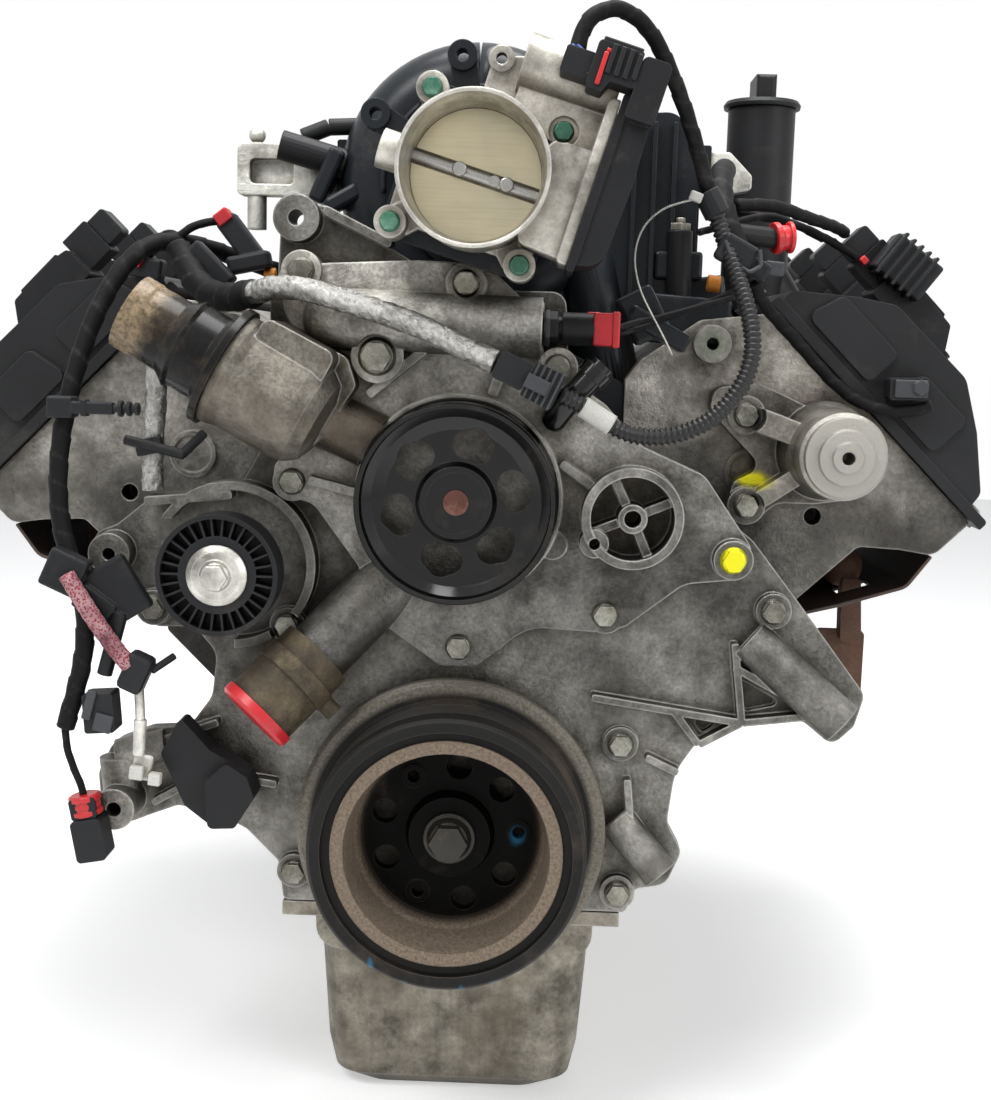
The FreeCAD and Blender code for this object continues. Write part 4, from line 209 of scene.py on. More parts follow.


# cast, moulded or painted surface: patches, grain, grime, painted shade and worn edges from one set of values
def roughSurface(name, s):
    material, tree, shader, coords = newMaterial(name)
    broad = noise(tree, coords, s["patches"], 4.0, 0.6)
    fine = noise(tree, coords, s["grain"], 6.0, 0.7)
    colour = mix(tree, ramp(tree, broad, *tones["patch"]), s["colour"], scaled(s["colour"], s["shade"]))
    if "blotch" in s:
        blotches = noise(tree, coords, s["blotch"], 5.0, 0.65)
        tone = ramp(tree, blotches, *tones["blotch"], tones["blotchDark"], tones["blotchLight"])
        colour = toned(tree, colour, tone, tones["blotchShare"])
    # painted light and shade by height, lighter or darker towards the top, and a tone lighter towards the
    # front and darker towards the back
    for key, axis in (("toneFrontToBack", "Y"), ("paintedShadeByHeight", "Z")):
        if key in s:
            colour = toned(tree, colour, toneAlong(tree, coords, axis, *s[key]))
    specks = ramp(tree, fine, *tones["speckle"], tones["speckleDark"], white)
    colour = toned(tree, colour, specks, s["speckle"])
    if "grime" in s:
        film = noise(tree, coords, s["grimeSize"], 5.0, 0.65)
        film = ramp(tree, film, s["grimeStart"], s["grimeStart"] + tones["grimeWidth"])
        dirt = toned(tree, film, ramp(tree, fine, *tones["grimeGrain"]))
        colour = mix(tree, dirt, colour, s["grime"])
    if "streaks" in s:
        lines = noise(tree, stretched(tree, coords, s["streaks"]), 1.0, 4.0, 0.6)
        tone = ramp(tree, lines, *tones["streak"], tones["streakDark"], white)
        colour = toned(tree, colour, tone, tones["streakShare"])
    # painted shade, multiplied into the colour where the surface lies in corners and pockets
    if "pocket" in s:
        depth = ramp(tree, pocketMask(tree, s["pocketReach"]), *tones["pocket"], white, black)
        colour = mix(tree, depth, colour, toned(tree, colour, s["pocket"]))
    mask, rounded = edgeMask(tree, s["edgeRadius"])
    if s["edge"] > 0:
        share = ramp(tree, broad, *tones["edgePatch"], grey(s["edge"] * tones["edgeLeast"]), grey(s["edge"]))
        colour = mix(tree, toned(tree, mask, share), colour, s["edgeColour"])
    if "worn" in s:
        low, high, wornColour = s["worn"]
        fromAxis = farFrom(tree, coords, (0, 0, 0), (1, 0, 1))
        bare = mix(tree, ramp(tree, fine, *tones["bare"]), scaled(wornColour, tones["bareDark"]), wornColour)
        colour = mix(tree, ramp(tree, fromAxis, low, high), colour, bare)
    if "band" in s:
        direction, low, high, bandColour = s["band"]
        dark = scaled(bandColour, tones["flakyDark"])
        flaky = mix(tree, ramp(tree, fine, *tones["flaky"]), dark, bandColour)
        reach = farAlong(tree, coords, direction, s["bandNoise"], s["bandUneven"])
        middle = s["bandUneven"] / 2
        colour = mix(tree, ramp(tree, reach, low + middle, high + middle), colour, flaky)
    for centre, scale, inside, outside, paint in s.get("daubs", []):
        reach = farFrom(tree, coords, centre, scale, s.get("ragged", 0.3))
        colour = mix(tree, ramp(tree, reach, inside, outside, white, black), colour, paint)
    fill(tree, shader, {"Base Color": colour, "Roughness": spread(tree, fine, *s["gloss"]),
                        "Metallic": s["metal"], "Specular IOR Level": s.get("specular", 0.5),
                        "Normal": bumped(tree, fine, s["bump"], tones["bumpStrength"], rounded)})
    if "coat" in s:
        fill(tree, shader, {"Coat Weight": s["coat"], "Coat Roughness": tones["coatRoughness"]})
    return material


# values that many finishes start from, with the colour and reach of the painted shade in corners
cast = {
    "colour": (0.275, 0.268, 0.247), "shade": 0.5, "patches": 9.0, "grain": 420.0, "speckle": 0.62,
    "grime": (0.06, 0.052, 0.041), "grimeSize": 14.0, "grimeStart": 0.53, "pocket": (0.28, 0.25, 0.21),
    "pocketReach": 0.03, "edgeRadius": 0.0020, "edge": 0.9, "edgeColour": (0.62, 0.61, 0.58), "blotch": 34.0,
    "gloss": (0.26, 0.56), "metal": 0.75, "bump": 0.0013}
moulded = {
    "colour": (0.016, 0.0165, 0.018), "shade": 0.7, "patches": 12.0, "grain": 900.0, "speckle": 0.3,
    "grime": (0.075, 0.07, 0.062), "grimeSize": 16.0, "grimeStart": 0.60, "pocket": (0.5, 0.48, 0.46),
    "pocketReach": 0.015, "edgeRadius": 0.0012, "edge": 0.35, "edgeColour": (0.085, 0.085, 0.09),
    "gloss": (0.38, 0.54), "metal": 0.0, "bump": 0.0002, "specular": 0.2}
yellowPaint = (0.75, 0.70, 0.02)
bluePaint = (0.03, 0.22, 0.42)
plain = {
    "shade": 0.6, "patches": 30.0, "grain": 500.0, "speckle": 0.3, "edgeRadius": 0.0008, "edge": 0.4,
    "metal": 0.0, "bump": 0.0003}
# some finishes below paint light and shade by height
finishes = {
    "coverCasting": {**cast, "toneFrontToBack": (-0.535, -0.600, 0.62, 1.12), "paintedShadeByHeight": (0.02, 0.14, 1.25, 0.72)},
    "pumpCasting": {
        **cast, "colour": (0.36, 0.35, 0.325), "grimeStart": 0.56, "toneFrontToBack": (-0.560, -0.628, 1.15, 1.05),
        "paintedShadeByHeight": (0.17, 0.34, 0.45, 1.5)},
    "neckCasting": {**cast, "colour": (0.16, 0.148, 0.125), "grime": (0.10, 0.075, 0.05), "grimeStart": 0.46},
    "bracketCasting": {
        **cast, "colour": (0.30, 0.285, 0.255), "toneFrontToBack": (-0.535, -0.605, 0.7, 1.5),
        "daubs": [((0.248, -0.612, 0.259), (1, 0.5, 1), 0.0305, 0.032, (0.31, 0.298, 0.27)),
            ((0.199, -0.55, 0.238), (0.8, 0, 1.7), 0.009, 0.013, yellowPaint)],
        "ragged": 0.006},
    "oilyHead": {
        **cast, "colour": (0.44, 0.42, 0.385), "shade": 0.42, "paintedShadeByHeight": (0.21, 0.30, 0.42, 1.35),
        "grime": (0.035, 0.032, 0.027), "grimeStart": 0.47, "grimeSize": 17.0, "grain": 300.0, "bump": 0.0022,
        "edge": 0.6, "blotch": 26.0,
        "daubs": [((0.168, -0.506, 0.330), (1, 0, 1), 0.002, 0.017, (0.13, 0.17, 0.12))], "ragged": 0.006},
    "panCasting": {
        **cast, "colour": (0.29, 0.27, 0.225), "speckle": 0.4, "grain": 300.0, "grime": (0.12, 0.10, 0.07),
        "streaks": (70.0, 70.0, 5.0), "shade": 0.75,
        "daubs": [((0.115, -0.57, -0.115), (1.6, 0.6, 0.5), 0.014, 0.018, yellowPaint)], "ragged": 0.008},
    "blockIron": {
        **cast, "colour": (0.06, 0.056, 0.05), "shade": 0.6, "metal": 0.3, "edge": 0.15,
        "edgeColour": (0.2, 0.19, 0.17), "gloss": (0.5, 0.75)},
    "throttleCasting": {
        **cast, "colour": (0.56, 0.54, 0.49), "grain": 600.0, "speckle": 0.3, "shade": 0.7,
        "grime": (0.16, 0.14, 0.11), "grimeStart": 0.56, "bump": 0.0003, "pocket": (0.3, 0.27, 0.23),
        "pocketReach": 0.04},
    "blackPlastic": moulded,
    "connectorPlastic": {**moulded, "colour": (0.020, 0.021, 0.023), "edge": 0.5},
    "coverPlastic": {
        **moulded, "colour": (0.020, 0.0205, 0.022), "patches": 8.0, "grain": 1100.0, "speckle": 0.25,
        "grime": (0.075, 0.072, 0.064), "grimeSize": 10.0, "grimeStart": 0.58,
        "edgeColour": (0.14, 0.14, 0.145), "gloss": (0.42, 0.56), "bump": 0.00025},
    "runnerPlastic": {
        **moulded, "colour": (0.016, 0.019, 0.023), "patches": 6.0, "grain": 800.0, "speckle": 0.2,
        "edgeColour": (0.09, 0.10, 0.11), "gloss": (0.22, 0.36), "bump": 0.00015},
    "damperCoat": {
        **moulded, "colour": (0.014, 0.0135, 0.013), "grain": 520.0, "grime": (0.085, 0.065, 0.05),
        "grimeSize": 11.0, "grimeStart": 0.56, "edge": 0.5, "edgeColour": (0.16, 0.13, 0.105),
        "gloss": (0.4, 0.58), "metal": 0.3, "bump": 0.0003, "worn": (0.0945, 0.0975, (0.22, 0.20, 0.165)),
        "daubs": [((-0.047, -0.653, -0.077), (1.0, 0, 0.35), 0.0028, 0.0036, bluePaint),
            ((-0.028, -0.653, -0.087), (0.5, 0, 1.0), 0.0022, 0.003, bluePaint),
            ((0.012, -0.653, -0.091), (1.0, 0, 0.5), 0.0026, 0.0034, bluePaint),
            ((0.036, -0.653, -0.084), (0.4, 0, 1.1), 0.0022, 0.003, bluePaint)],
        "ragged": 0.002},
    "damperInside": {
        **moulded, "specular": 0.08, "colour": (0.003, 0.0028, 0.0025), "grain": 480.0, "speckle": 0.35,
        "grime": (0.05, 0.04, 0.03), "grimeStart": 0.56, "edgeColour": (0.12, 0.1, 0.085),
        "gloss": (0.45, 0.65), "metal": 0.3, "bump": 0.0003, "worn": (0.0585, 0.0625, (0.26, 0.205, 0.155)),
        "daubs": [((0.045, -0.6, 0.0), (1, 0, 0.7), 0.0036, 0.0044, (0.02, 0.11, 0.2))], "ragged": 0.003},
    "softRubber": {
        **plain, "specular": 0.2, "colour": (0.016, 0.015, 0.014), "shade": 0.7, "patches": 14.0,
        "grain": 700.0, "edge": 0.2, "edgeColour": (0.08, 0.07, 0.06), "gloss": (0.6, 0.78)},
    "glossBlack": {
        **moulded, "specular": 0.1, "colour": (0.004, 0.004, 0.004), "grain": 260.0, "speckle": 0.15,
        "grime": (0.05, 0.043, 0.034), "grimeSize": 15.0, "grimeStart": 0.62, "edgeRadius": 0.0014,
        "edge": 0.2, "edgeColour": (0.12, 0.11, 0.10), "gloss": (0.16, 0.3), "bump": 0.00008, "coat": 0.5},
    "neckSteel": {
        **moulded, "colour": (0.007, 0.0068, 0.0065), "grain": 260.0, "speckle": 0.2,
        "grime": (0.075, 0.055, 0.035), "grimeSize": 18.0, "grimeStart": 0.56, "edgeRadius": 0.0014,
        "edge": 0.4, "edgeColour": (0.16, 0.13, 0.10), "gloss": (0.2, 0.36), "bump": 0.00012, "coat": 0.1,
        "specular": 0.12, "band": ((-0.8746, 0, 0.4848), 0.324, 0.331, (0.30, 0.225, 0.14)),
        "bandNoise": 90.0, "bandUneven": 0.02},
    "rustySteel": {
        **cast, "colour": (0.115, 0.088, 0.052), "shade": 0.5, "patches": 22.0, "grain": 520.0,
        "grime": (0.22, 0.17, 0.10), "grimeSize": 30.0, "grimeStart": 0.54, "edgeRadius": 0.001, "edge": 0.3,
        "edgeColour": (0.28, 0.2, 0.12), "gloss": (0.5, 0.75), "metal": 0.3, "bump": 0.0009,
        "pocketReach": 0.012},
    "exhaustRust": {
        **plain, "colour": (0.14, 0.07, 0.042), "shade": 0.5, "patches": 16.0, "grain": 380.0, "speckle": 0.5,
        "grime": (0.26, 0.15, 0.09), "grimeSize": 24.0, "grimeStart": 0.55, "edgeRadius": 0.0012, "edge": 0.3,
        "edgeColour": (0.32, 0.18, 0.11), "gloss": (0.6, 0.85), "metal": 0.2, "bump": 0.0008},
    "shieldSteel": {
        **plain, "colour": (0.085, 0.062, 0.052), "patches": 10.0, "grime": (0.14, 0.085, 0.055),
        "grimeSize": 12.0, "grimeStart": 0.5, "edgeRadius": 0.001, "edgeColour": (0.26, 0.22, 0.18),
        "gloss": (0.35, 0.55), "metal": 0.6, "bump": 0.0004},
    "zincBolt": {
        **cast, "colour": (0.33, 0.325, 0.28), "shade": 0.6, "patches": 40.0, "grain": 700.0,
        "grime": (0.10, 0.085, 0.055), "grimeSize": 60.0, "grimeStart": 0.5, "edgeRadius": 0.0008,
        "edge": 0.55, "edgeColour": (0.62, 0.61, 0.56), "gloss": (0.3, 0.5), "metal": 0.8, "bump": 0.0003,
        "pocketReach": 0.008, "daubs": [((0.1763, -0.62, 0.1924), (1, 0, 1), 0.012, 0.016, yellowPaint)],
        "ragged": 0.004},
    "idlerFace": {
        **cast, "colour": (0.55, 0.54, 0.50), "shade": 0.8, "patches": 30.0, "speckle": 0.25,
        "grime": (0.25, 0.22, 0.18), "grimeSize": 50.0, "grimeStart": 0.6, "edgeColour": (0.8, 0.79, 0.75),
        "gloss": (0.3, 0.48), "metal": 0.75, "bump": 0.0002, "pocketReach": 0.008},
    "greenBolt": {
        **plain, "colour": (0.06, 0.20, 0.13), "patches": 40.0, "grime": (0.20, 0.36, 0.27),
        "grimeSize": 70.0, "grimeStart": 0.5, "edge": 0.5, "edgeColour": (0.32, 0.5, 0.4),
        "gloss": (0.25, 0.42), "metal": 0.5, "bump": 0.0002},
    "darkSteel": {
        **plain, "colour": (0.035, 0.032, 0.027), "shade": 0.7, "grime": (0.10, 0.085, 0.05),
        "grimeSize": 40.0, "grimeStart": 0.56, "edgeRadius": 0.001, "edgeColour": (0.14, 0.13, 0.11),
        "gloss": (0.35, 0.5), "metal": 0.6, "bump": 0.0002},
    "machined": {
        **plain, "colour": (0.42, 0.41, 0.39), "shade": 0.8, "patches": 18.0, "grain": 900.0, "speckle": 0.25,
        "grime": (0.2, 0.18, 0.15), "grimeSize": 30.0, "grimeStart": 0.58, "edgeRadius": 0.0006,
        "edgeColour": (0.7, 0.69, 0.66), "gloss": (0.22, 0.36), "metal": 0.95, "bump": 0.0001},
    "silverCast": {
        **cast, "colour": (0.62, 0.615, 0.57), "shade": 0.8, "speckle": 0.2, "grimeStart": 0.66,
        "grime": (0.3, 0.28, 0.24), "edgeColour": (0.8, 0.8, 0.77), "pocketReach": 0.01},
    "redPlastic": {
        **plain, "colour": (0.66, 0.022, 0.03), "shade": 0.75, "grain": 700.0, "speckle": 0.15, "edge": 0.3,
        "edgeColour": (0.85, 0.16, 0.14), "gloss": (0.3, 0.42), "bump": 0.0001},
    "rustyShaft": {
        **plain, "colour": (0.13, 0.045, 0.03), "patches": 60.0, "grain": 600.0, "speckle": 0.4,
        "grime": (0.22, 0.11, 0.08), "grimeSize": 80.0, "grimeStart": 0.5, "edgeColour": (0.30, 0.16, 0.12),
        "gloss": (0.4, 0.6), "metal": 0.4},
    "loomTape": {
        **plain, "specular": 0.12, "colour": (0.009, 0.009, 0.0095), "shade": 0.75, "patches": 40.0,
        "grain": 1500.0, "speckle": 0.4, "grime": (0.045, 0.042, 0.038), "grimeSize": 40.0,
        "grimeStart": 0.56, "edgeRadius": 0.0006, "edge": 0.45, "edgeColour": (0.055, 0.055, 0.058),
        "gloss": (0.5, 0.7)},
    "conduitPlastic": {
        **plain, "specular": 0.3, "colour": (0.008, 0.008, 0.0085), "shade": 0.8, "grain": 900.0,
        "speckle": 0.2, "grime": (0.05, 0.046, 0.04), "grimeSize": 40.0, "grimeStart": 0.6,
        "edgeRadius": 0.0005, "edgeColour": (0.07, 0.07, 0.073), "gloss": (0.3, 0.45), "bump": 0.0001},
    "foilTape": {
        **plain, "colour": (0.50, 0.495, 0.47), "patches": 70.0, "grain": 230.0, "speckle": 0.6,
        "grime": (0.10, 0.088, 0.07), "grimeSize": 55.0, "grimeStart": 0.53, "edgeRadius": 0.0006,
        "edge": 0.6, "edgeColour": (0.85, 0.84, 0.8), "gloss": (0.16, 0.42), "metal": 0.95, "bump": 0.004},
    "greyPlastic": {
        **moulded, "colour": (0.075, 0.078, 0.084), "edgeColour": (0.18, 0.185, 0.19), "pocketReach": 0.006},
    "whitePlastic": {
        **moulded, "colour": (0.72, 0.71, 0.66), "grime": (0.45, 0.42, 0.36), "edge": 0.0,
        "pocketReach": 0.004},
    "orangeRubber": {
        **moulded, "colour": (0.55, 0.20, 0.03), "grime": (0.25, 0.1, 0.03), "edge": 0.0,
        "pocketReach": 0.004},
    "blueWire": {
        **moulded, "colour": (0.05, 0.10, 0.30), "grime": (0.04, 0.05, 0.1), "edge": 0.0,
        "pocketReach": 0.004},
    "orangeWire": {
        **moulded, "colour": (0.62, 0.22, 0.10), "grime": (0.3, 0.12, 0.06), "edge": 0.0,
        "pocketReach": 0.004},
}


discSettings = {
    "stretch": (30, 30, 900), "turn": -17.0, "patches": 14.0, "light": (0.62, 0.54, 0.36),
    "dark": (0.44, 0.40, 0.29), "lineShare": 0.25, "gloss": (0.25, 0.42), "metal": 0.9, "bump": 0.0001}


# satin brassy plate with fine turning lines
def throttleDisc(s):
    material, tree, shader, coords = newMaterial("throttleDisc")
    lines = noise(tree, stretched(tree, coords, s["stretch"], (0, math.radians(s["turn"]), 0)), 1.0, 4.0)
    broad = noise(tree, coords, s["patches"], 3.0)
    colour = mix(tree, ramp(tree, broad, 0.35, 0.7), s["light"], s["dark"])
    colour = toned(tree, colour, ramp(tree, lines, 0.3, 0.7, grey(0.5), white), s["lineShare"])
    fill(tree, shader, {"Base Color": colour, "Roughness": spread(tree, lines, *s["gloss"]),
                        "Metallic": s["metal"], "Normal": bumped(tree, lines, s["bump"], 0.4)})
    return material


materials = {name: roughSurface(name, settings) for name, settings in finishes.items()}
materials["throttleDisc"] = throttleDisc(discSettings)
nodeFinish = {
    "coverCasting": ["timing_cover", "oil_pump"],
    "pumpCasting": ["pump_housing"],
    "neckCasting": ["thermostat_housing"],
    "bracketCasting": ["pulley_bracket"],
    "oilyHead": ["cylinder_head_left", "cylinder_head_right"],
    "panCasting": ["oil_pan"],
    "blockIron": ["engine_block", "main_bearing_caps"],
    "throttleCasting": ["throttle_body"],
    "throttleDisc": ["throttle_plate"],
    "blackPlastic": [
        "ignition_coils", "oil_filler_neck", "oil_filler_cap", "throttle_gear_cover", "throttle_connector",
        "temperature_sensor", "idler_pulley", "lower_sensor"],
    "coverPlastic": ["valve_cover_left", "valve_cover_right"],
    "runnerPlastic": ["intake_manifold"],
    "damperCoat": ["damper_ring"],
    "damperInside": ["damper_hub"],
    "softRubber": ["damper_rubber", "front_seal"],
    "glossBlack": ["pump_pulley", "bypass_hose"],
    "neckSteel": ["coolant_neck"],
    "rustySteel": ["inlet_coupling"],
    "exhaustRust": ["exhaust_manifold_left", "exhaust_manifold_right"],
    "shieldSteel": ["heat_shields", "head_gaskets"],
    "zincBolt": ["front_flange_bolts", "oil_pan_bolts", "valve_cover_bolts"],
    "idlerFace": ["idler_bolt"],
    "greenBolt": ["throttle_bolts"],
    "darkSteel": ["damper_bolt", "timing_chain", "pump_impeller"],
    "machined": [
        "crankshaft", "camshaft", "crank_sprocket", "cam_sprocket", "main_bearing_shells", "idler_bearing",
        "throttle_shaft", "throttle_screws"],
    "silverCast": ["silver_brackets"],
    "redPlastic": ["inlet_cap"],
    "rustyShaft": ["pump_shaft"],
    "connectorPlastic": ["loom_connectors"],
}
for finish, names in nodeFinish.items():
    for name in names:
        for slot in nodes[name].material_slots:
            slot.material = materials[finish]
print("CAD pieces finished:", sum(len(names) for names in nodeFinish.values()), "of", len(nodes))


# Small helpers for new pieces, all measured in millimetres: X, depth ahead of the block's face, Z

blockFace = -0.520


def at(x, ahead, z):
    return Vector((x / 1000, blockFace - ahead / 1000, z / 1000))


def newPiece(name, form, finish, body="engine"):
    bmesh.ops.recalc_face_normals(form, faces=form.faces)
    mesh = bpy.data.meshes.new(name)
    form.to_mesh(mesh)
    form.free()
    piece = bpy.data.objects.new(name, mesh)
    scene.collection.objects.link(piece)
    mesh.materials.append(materials[finish])
    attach(piece, body)
    return piece


def addBlock(form, centre, size, turn, soften):
    matrix = Matrix.Translation(centre) @ Matrix.Rotation(math.radians(turn), 4, "Y")
    matrix = matrix @ Matrix.Diagonal((*(side / 1000 for side in size), 1))
    corners = bmesh.ops.create_cube(form, size=1.0, matrix=matrix)["verts"]
    edges = list({edge for corner in corners for edge in corner.link_edges})
    bmesh.ops.bevel(form, geom=edges, offset=soften / 1000, segments=2, profile=0.5, affect="EDGES",
                    material=-1)


def addRod(form, start, end, radius, sides=24, soften=0.0):
    line = end - start
    matrix = Matrix.Translation((start + end) / 2) @ line.to_track_quat("Z", "Y").to_matrix().to_4x4()
    corners = bmesh.ops.create_cone(form, cap_ends=True, segments=sides, radius1=radius / 1000,
                                    radius2=radius / 1000, depth=line.length, matrix=matrix)["verts"]
    if soften:
        rims = [edge for edge in {edge for corner in corners for edge in corner.link_edges}
                if any(len(face.verts) > 4 for face in edge.link_faces)]
        bmesh.ops.bevel(form, geom=rims, offset=soften / 1000, segments=2, profile=0.5, affect="EDGES",
                        material=-1)


# the smooth line of a route: its points are the control points of one spline
def routeLine(points):
    curve = bpy.data.curves.new("routeLine", "CURVE")
    curve.dimensions = "3D"
    curve.resolution_u = 24
    spline = curve.splines.new("NURBS")
    spline.points.add(len(points) - 1)
    for point, target in zip(points, spline.points):
        target.co = (*point, 1.0)
    spline.order_u = 3
    spline.use_endpoint_u = True
    holder = bpy.data.objects.new("routeLine", curve)
    mesh = bpy.data.meshes.new_from_object(holder)
    line = [vertex.co.copy() for vertex in mesh.vertices]
    bpy.data.objects.remove(holder)
    bpy.data.meshes.remove(mesh)
    return line


# the same line cut into equal steps
def evenLine(line, step):
    lengths = [0.0]
    for before, after in zip(line, line[1:]):
        lengths.append(lengths[-1] + (after - before).length)
    count = max(4, round(lengths[-1] / step))
    places = []
    leg = 0
    for index in range(count + 1):
        reach = lengths[-1] * index / count
        while leg < len(line) - 2 and lengths[leg + 1] < reach:
            leg += 1
        share = (reach - lengths[leg]) / max(1e-9, lengths[leg + 1] - lengths[leg])
        places.append(line[leg].lerp(line[leg + 1], min(1.0, share)))
    return places, lengths[-1]


def routeOf(points, step):
    return evenLine(routeLine([at(*point) for point in points]), step)[0]


# a tube of rings along the line, each ring shaped by its distance along the tube and its angle
def tubeAlong(form, line, radius, sides, shape):
    turn = None
    heading = None
    loops = []
    travelled = 0.0
    for index, here in enumerate(line):
        ahead = (line[min(index + 1, len(line) - 1)] - line[max(index - 1, 0)]).normalized()
        turn = ahead.to_track_quat("Z", "Y") if turn is None else heading.rotation_difference(ahead) @ turn
        heading = ahead
        if index:
            travelled += (here - line[index - 1]).length
        matrix = Matrix.Translation(here) @ turn.to_matrix().to_4x4()
        ring = bmesh.ops.create_circle(form, segments=sides, radius=radius, matrix=matrix)["verts"]
        for number, vertex in enumerate(ring):
            vertex.co = here + (vertex.co - here) * shape(travelled, number / sides)
        loops.append(list({edge for vertex in ring for edge in vertex.link_edges}))
    for before, after in zip(loops, loops[1:]):
        bmesh.ops.bridge_loops(form, edges=before + after)
    bmesh.ops.holes_fill(form, edges=loops[0] + loops[-1], sides=0)
    for face in form.faces:
        face.smooth = True


# Looms: each route has the points of its CAD tube, in metres

coverings = {
    "pitch": 0.0036, "ridge": (0.25, 0.75), "groove": 0.79, "wrap": 0.017, "wrapStep": 0.13,
    "wrapNoise": 0.03, "foil": 0.92, "foilNoise": 0.13}


def corrugated(travelled, angle):
    share = (travelled / coverings["pitch"]) % 1.0
    return 1.0 if coverings["ridge"][0] < share < coverings["ridge"][1] else coverings["groove"]


def taped(travelled, angle):
    wrap = ((travelled / coverings["wrap"]) + angle) % 1.0
    uneven = mathutils.noise.noise(Vector((travelled * 190, angle * 5, 3.1)))
    return 1.0 - coverings["wrapStep"] * wrap + coverings["wrapNoise"] * uneven


def crumpled(travelled, angle):
    place = Vector((travelled * 260, math.cos(angle * math.tau) * 2.2, math.sin(angle * math.tau) * 2.2))
    folds = mathutils.noise.noise(place) + 0.5 * mathutils.noise.noise(place * 2.3)
    return coverings["foil"] + coverings["foilNoise"] * folds


def smooth(travelled, angle):
    return 1.0


# Ends of the looms

plugSettings = {
    "rear": (-242.0, 102, 23.0), "front": (-239.6, 102, 9.0), "radius": 10.6, "lips": 3, "lipHalf": 0.0016,
    "coreStep": 1.2, "middleStep": 0.9, "soften": 0.6}


# the red seal and lock of the plug that hangs at the lower left
def plugRing(s):
    form = bmesh.new()
    start, end = at(*s["rear"]), at(*s["front"])
    addRod(form, start, end, s["radius"] - s["coreStep"], soften=s["soften"])
    along = (end - start).normalized() * s["lipHalf"]
    for index in range(s["lips"]):
        middle = start.lerp(end, (index + 0.5) / s["lips"])
        step = s["middleStep"] if index == 1 else 0
        addRod(form, middle - along, middle + along, s["radius"] - step, soften=s["soften"])
    return newPiece("plugRing", form, "redPlastic")


halfSettings = {
    "start": (43.6, 304.4), "end": (62.0, 296.0), "rear": 110.6, "front": 133.4, "ribs": 5, "ribWidth": 1.6,
    "ribHeight": 24.4, "ribSoften": 0.4, "latch": (-4, 1.1, 1), "latchSize": (15.0, 3.2, 9.0),
    "latchSoften": 0.8}


# ribs and latch round the grey half of the connector at the end of the conduit
def greyHalf(s):
    form = bmesh.new()
    (x0, z0), (x1, z1) = s["start"], s["end"]
    slope = math.degrees(math.atan2(z0 - z1, x1 - x0))
    middleDepth = (s["rear"] + s["front"]) / 2
    for index in range(s["ribs"]):
        share = (index + 0.5) / s["ribs"]
        addBlock(form, at(x0 + (x1 - x0) * share, middleDepth, z0 + (z1 - z0) * share),
                 (s["ribWidth"], s["front"] - s["rear"], s["ribHeight"]), slope, s["ribSoften"])
    across, ahead, up = s["latch"]
    addBlock(form, at((x0 + x1) / 2 + across, s["front"] + ahead, (z0 + z1) / 2 + up), s["latchSize"], slope,
             s["latchSoften"])
    return newPiece("greyHalf", form, "greyPlastic")


